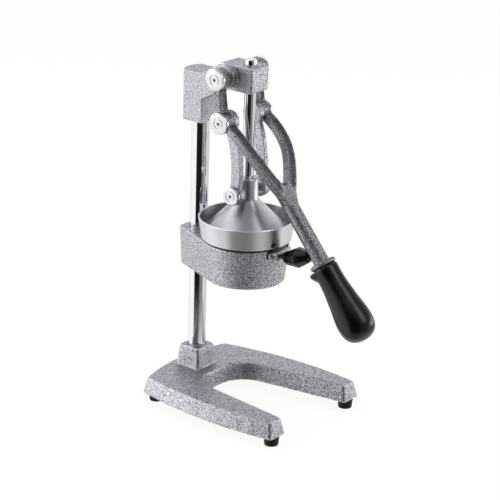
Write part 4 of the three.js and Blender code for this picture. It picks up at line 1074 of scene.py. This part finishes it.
class BuildBowl(PressOperator):
    """Dresses the strainer, the reamer that stands in it and the funnel below."""

    bl_idname = "press.build_bowl"
    bl_label = "Strainer, reamer and funnel"

    def make(self, scene):
        for node in ("strainer", "reamer", "juice_funnel"):
            piece = copy_of_node(node, node + "_sheet")
            smooth(piece, degrees=40)
            finish_piece(piece, "stainless", "frame", node)


class DressScrews(PressOperator):
    """Gives the frame's own screws and washer their zinc plate."""

    bl_idname = "press.dress_screws"
    bl_label = "Screws"

    def make(self, scene):
        for node in frame["nodes"].values():
            if not node.hide_render:
                node.data.materials.clear()
                node.data.materials.append(finish_of("zinc"))


class SetStage(PressOperator):
    """Sets the camera, the lamps, the surroundings and the floor."""

    bl_idname = "press.set_stage"
    bl_label = "Stage"

    def make(self, scene):
        stage = scene.press_stage
        self.add_camera(scene, stage)
        for name, lamp in LAMPS.items():
            self.add_lamp(scene, name, *lamp)
        self.surround(scene, stage)
        if stage.with_floor:
            self.add_floor(stage)
        scene.view_settings.view_transform = "Standard"

    def add_camera(self, scene, stage):
        """A camera that looks at the aim from the photograph's side."""
        turn, lift, roll = stage.azimuth, stage.elevation, stage.roll
        ahead, level = math.cos(lift), Vector((math.cos(turn), math.sin(turn), 0))
        back = Vector((math.sin(turn) * ahead, -math.cos(turn) * ahead, math.sin(lift)))
        rise = back.cross(level)
        right = level * math.cos(roll) + rise * math.sin(roll)
        up = rise * math.cos(roll) - level * math.sin(roll)
        data = bpy.data.cameras.new("camera")
        data.lens = stage.lens
        data.sensor_width = 36
        place = Vector(stage.aim) + back * stage.reach
        scene.camera = self.put(scene, data, place, Matrix((right, up, back)).transposed())

    def add_lamp(self, scene, name, place, target, width, height, power):
        """A soft lamp that faces its target."""
        data = bpy.data.lights.new(name, "AREA")
        data.shape = "RECTANGLE"
        data.size, data.size_y, data.energy = width, height, power
        way = Vector(target) - Vector(place)
        self.put(scene, data, place, way.to_track_quat("-Z", "Y").to_matrix())

    def put(self, scene, data, place, heading):
        """Puts a camera or a lamp in its place."""
        thing = bpy.data.objects.new(data.name, data)
        scene.collection.objects.link(thing)
        thing.matrix_world = Matrix.Translation(place) @ heading.to_4x4()
        return thing

    def surround(self, scene, stage):
        """A pale studio with a dark end behind the camera, which metal mirrors as dark bands."""
        world = bpy.data.worlds.new("pale studio")
        scene.world = world
        world.use_nodes = True
        recipe = Recipe(world.node_tree)
        view = recipe.node("TexCoord")["Generated"]
        toward = (math.sin(stage.azimuth), -math.cos(stage.azimuth), 0)
        beside = (math.cos(stage.azimuth), math.sin(stage.azimuth), 0)
        facing = recipe.node("VectorMath", {0: view, 1: toward}, operation="DOT_PRODUCT")["Value"]
        lateral = recipe.node("VectorMath", {0: view, 1: beside}, operation="DOT_PRODUCT")["Value"]
        height = recipe.node("SeparateXYZ", {"Vector": view})["Z"]
        turn = lateral.join("ARCTAN2", lateral, facing)
        high = height.over(*UPPER_WALL)
        rear_left = (-turn).over(*REAR_LEFT_WALL)
        left = (-turn).over(*LEFT_WALL) * (LEFT_GLOW - REAR_LEFT_LOSS * rear_left)
        left = left * (1.0 - LEFT_FADE * high * (1.0 - rear_left))
        side_right = SIDE_RIGHT_LOSS * turn.over(*SIDE_RIGHT_WALL)
        rear_right = REAR_RIGHT_GAIN * turn.over(*REAR_RIGHT_WALL)
        right = turn.over(*FAR_RIGHT_WALL) * (FAR_RIGHT_GLOW - side_right + rear_right)
        right = right * (1.0 - RIGHT_FADE * high * (1.0 - turn.over(*FULL_RIGHT_WALL)))
        walls = left + turn.over(*NEAR_RIGHT_WALL) * NEAR_RIGHT_GLOW + right + DARK_END_GLOW
        ceiling = height.over(*CEILING_HEIGHT)
        below = (-height).over(*GROUND_DEPTH)
        sides = (-turn).over(*GROUND_LEFT) * GROUND_LEFT_GAIN
        sides = sides + turn.over(*GROUND_RIGHT) * GROUND_RIGHT_GAIN
        ground = (sides + 1.0) * stage.ground
        strength = walls * (1.0 - ceiling - below) + ceiling * stage.ceiling + below * ground
        tint = recipe.blend(height.over(0.0, 0.3), (1, 1, 1), (0.95, 0.93, 1))
        path = recipe.node("LightPath")
        room = recipe.node("Background", {"Color": tint, "Strength": strength})
        plain = recipe.node("Background", {"Color": (1, 1, 1), "Strength": 1.0})
        shown = recipe.mix(path["Is Camera Ray"], room["Background"], plain["Background"])
        recipe.node("OutputWorld", {"Surface": shown})

    def add_floor(self, stage):
        """A white floor that keeps the shadows, and that mirrors and glass see through."""
        drop_all()
        bpy.ops.mesh.primitive_plane_add(size=stage.floor_side, location=(0, 0, -2 * HAIR))
        floor = bpy.context.object
        floor.name = "floor"
        settle(floor)
        material, recipe = new_recipe("white floor")
        fine = recipe.noise(recipe.place(), CLOTH)
        colour = recipe.blend(fine, (0.8, 0.8, 0.8), (0.82, 0.82, 0.82))
        cloth = recipe.node("BsdfDiffuse", {"Color": colour})
        white = recipe.node("Emission", {"Color": (1, 1, 1), "Strength": 1.12})
        clear = recipe.node("BsdfTransparent", {"Color": (1, 1, 1)})
        path = recipe.node("LightPath")
        shown = recipe.mix(path["Is Camera Ray"] * 0.8, cloth["BSDF"], white["Emission"])
        mirrored = path["Is Glossy Ray"] + path["Is Transmission Ray"]
        surface = recipe.mix(mirrored, shown, clear["BSDF"])
        recipe.node("OutputMaterial", {"Surface": surface})
        floor.data.materials.append(material)


OPERATORS = (
    SetStage, BuildCastings, BuildBars, BuildBolts, BuildCup, BuildGrips, BuildFeet, BuildBowl,
    DressScrews,
)

GROUPS = {
    "press_casts": CastSizes,
    "press_bars": BarSizes,
    "press_cup": CupSizes,
    "press_grip": GripSizes,
    "press_feet": FootSizes,
    "press_finishes": Finishes,
    "press_stage": StageSizes,
}


class PressPanel(bpy.types.Panel):
    """Lists the press's sizes and the steps that build it."""

    bl_idname = "VIEW3D_PT_citrus_press"
    bl_label = "Citrus press"
    bl_space_type = "VIEW_3D"
    bl_region_type = "UI"
    bl_category = "Press"

    def draw(self, context):
        for operator in OPERATORS:
            self.layout.operator(operator.bl_idname)
        for name, group in GROUPS.items():
            box = self.layout.box()
            box.label(text=group.__doc__)
            for prop in group.__annotations__:
                box.prop(getattr(context.scene, name), prop)


def register():
    for name, group in GROUPS.items():
        bpy.utils.register_class(group)
        setattr(bpy.types.Scene, name, PointerProperty(type=group))
    for cls in (*OPERATORS, PressPanel):
        bpy.utils.register_class(cls)


def unregister():
    for cls in (PressPanel, *reversed(OPERATORS)):
        bpy.utils.unregister_class(cls)
    for name, group in GROUPS.items():
        delattr(bpy.types.Scene, name)
        bpy.utils.unregister_class(group)


def main():
    register()
    for operator in OPERATORS:
        family, step = operator.bl_idname.split(".")
        getattr(getattr(bpy.ops, family), step)()


if __name__ == "__main__":
    main()
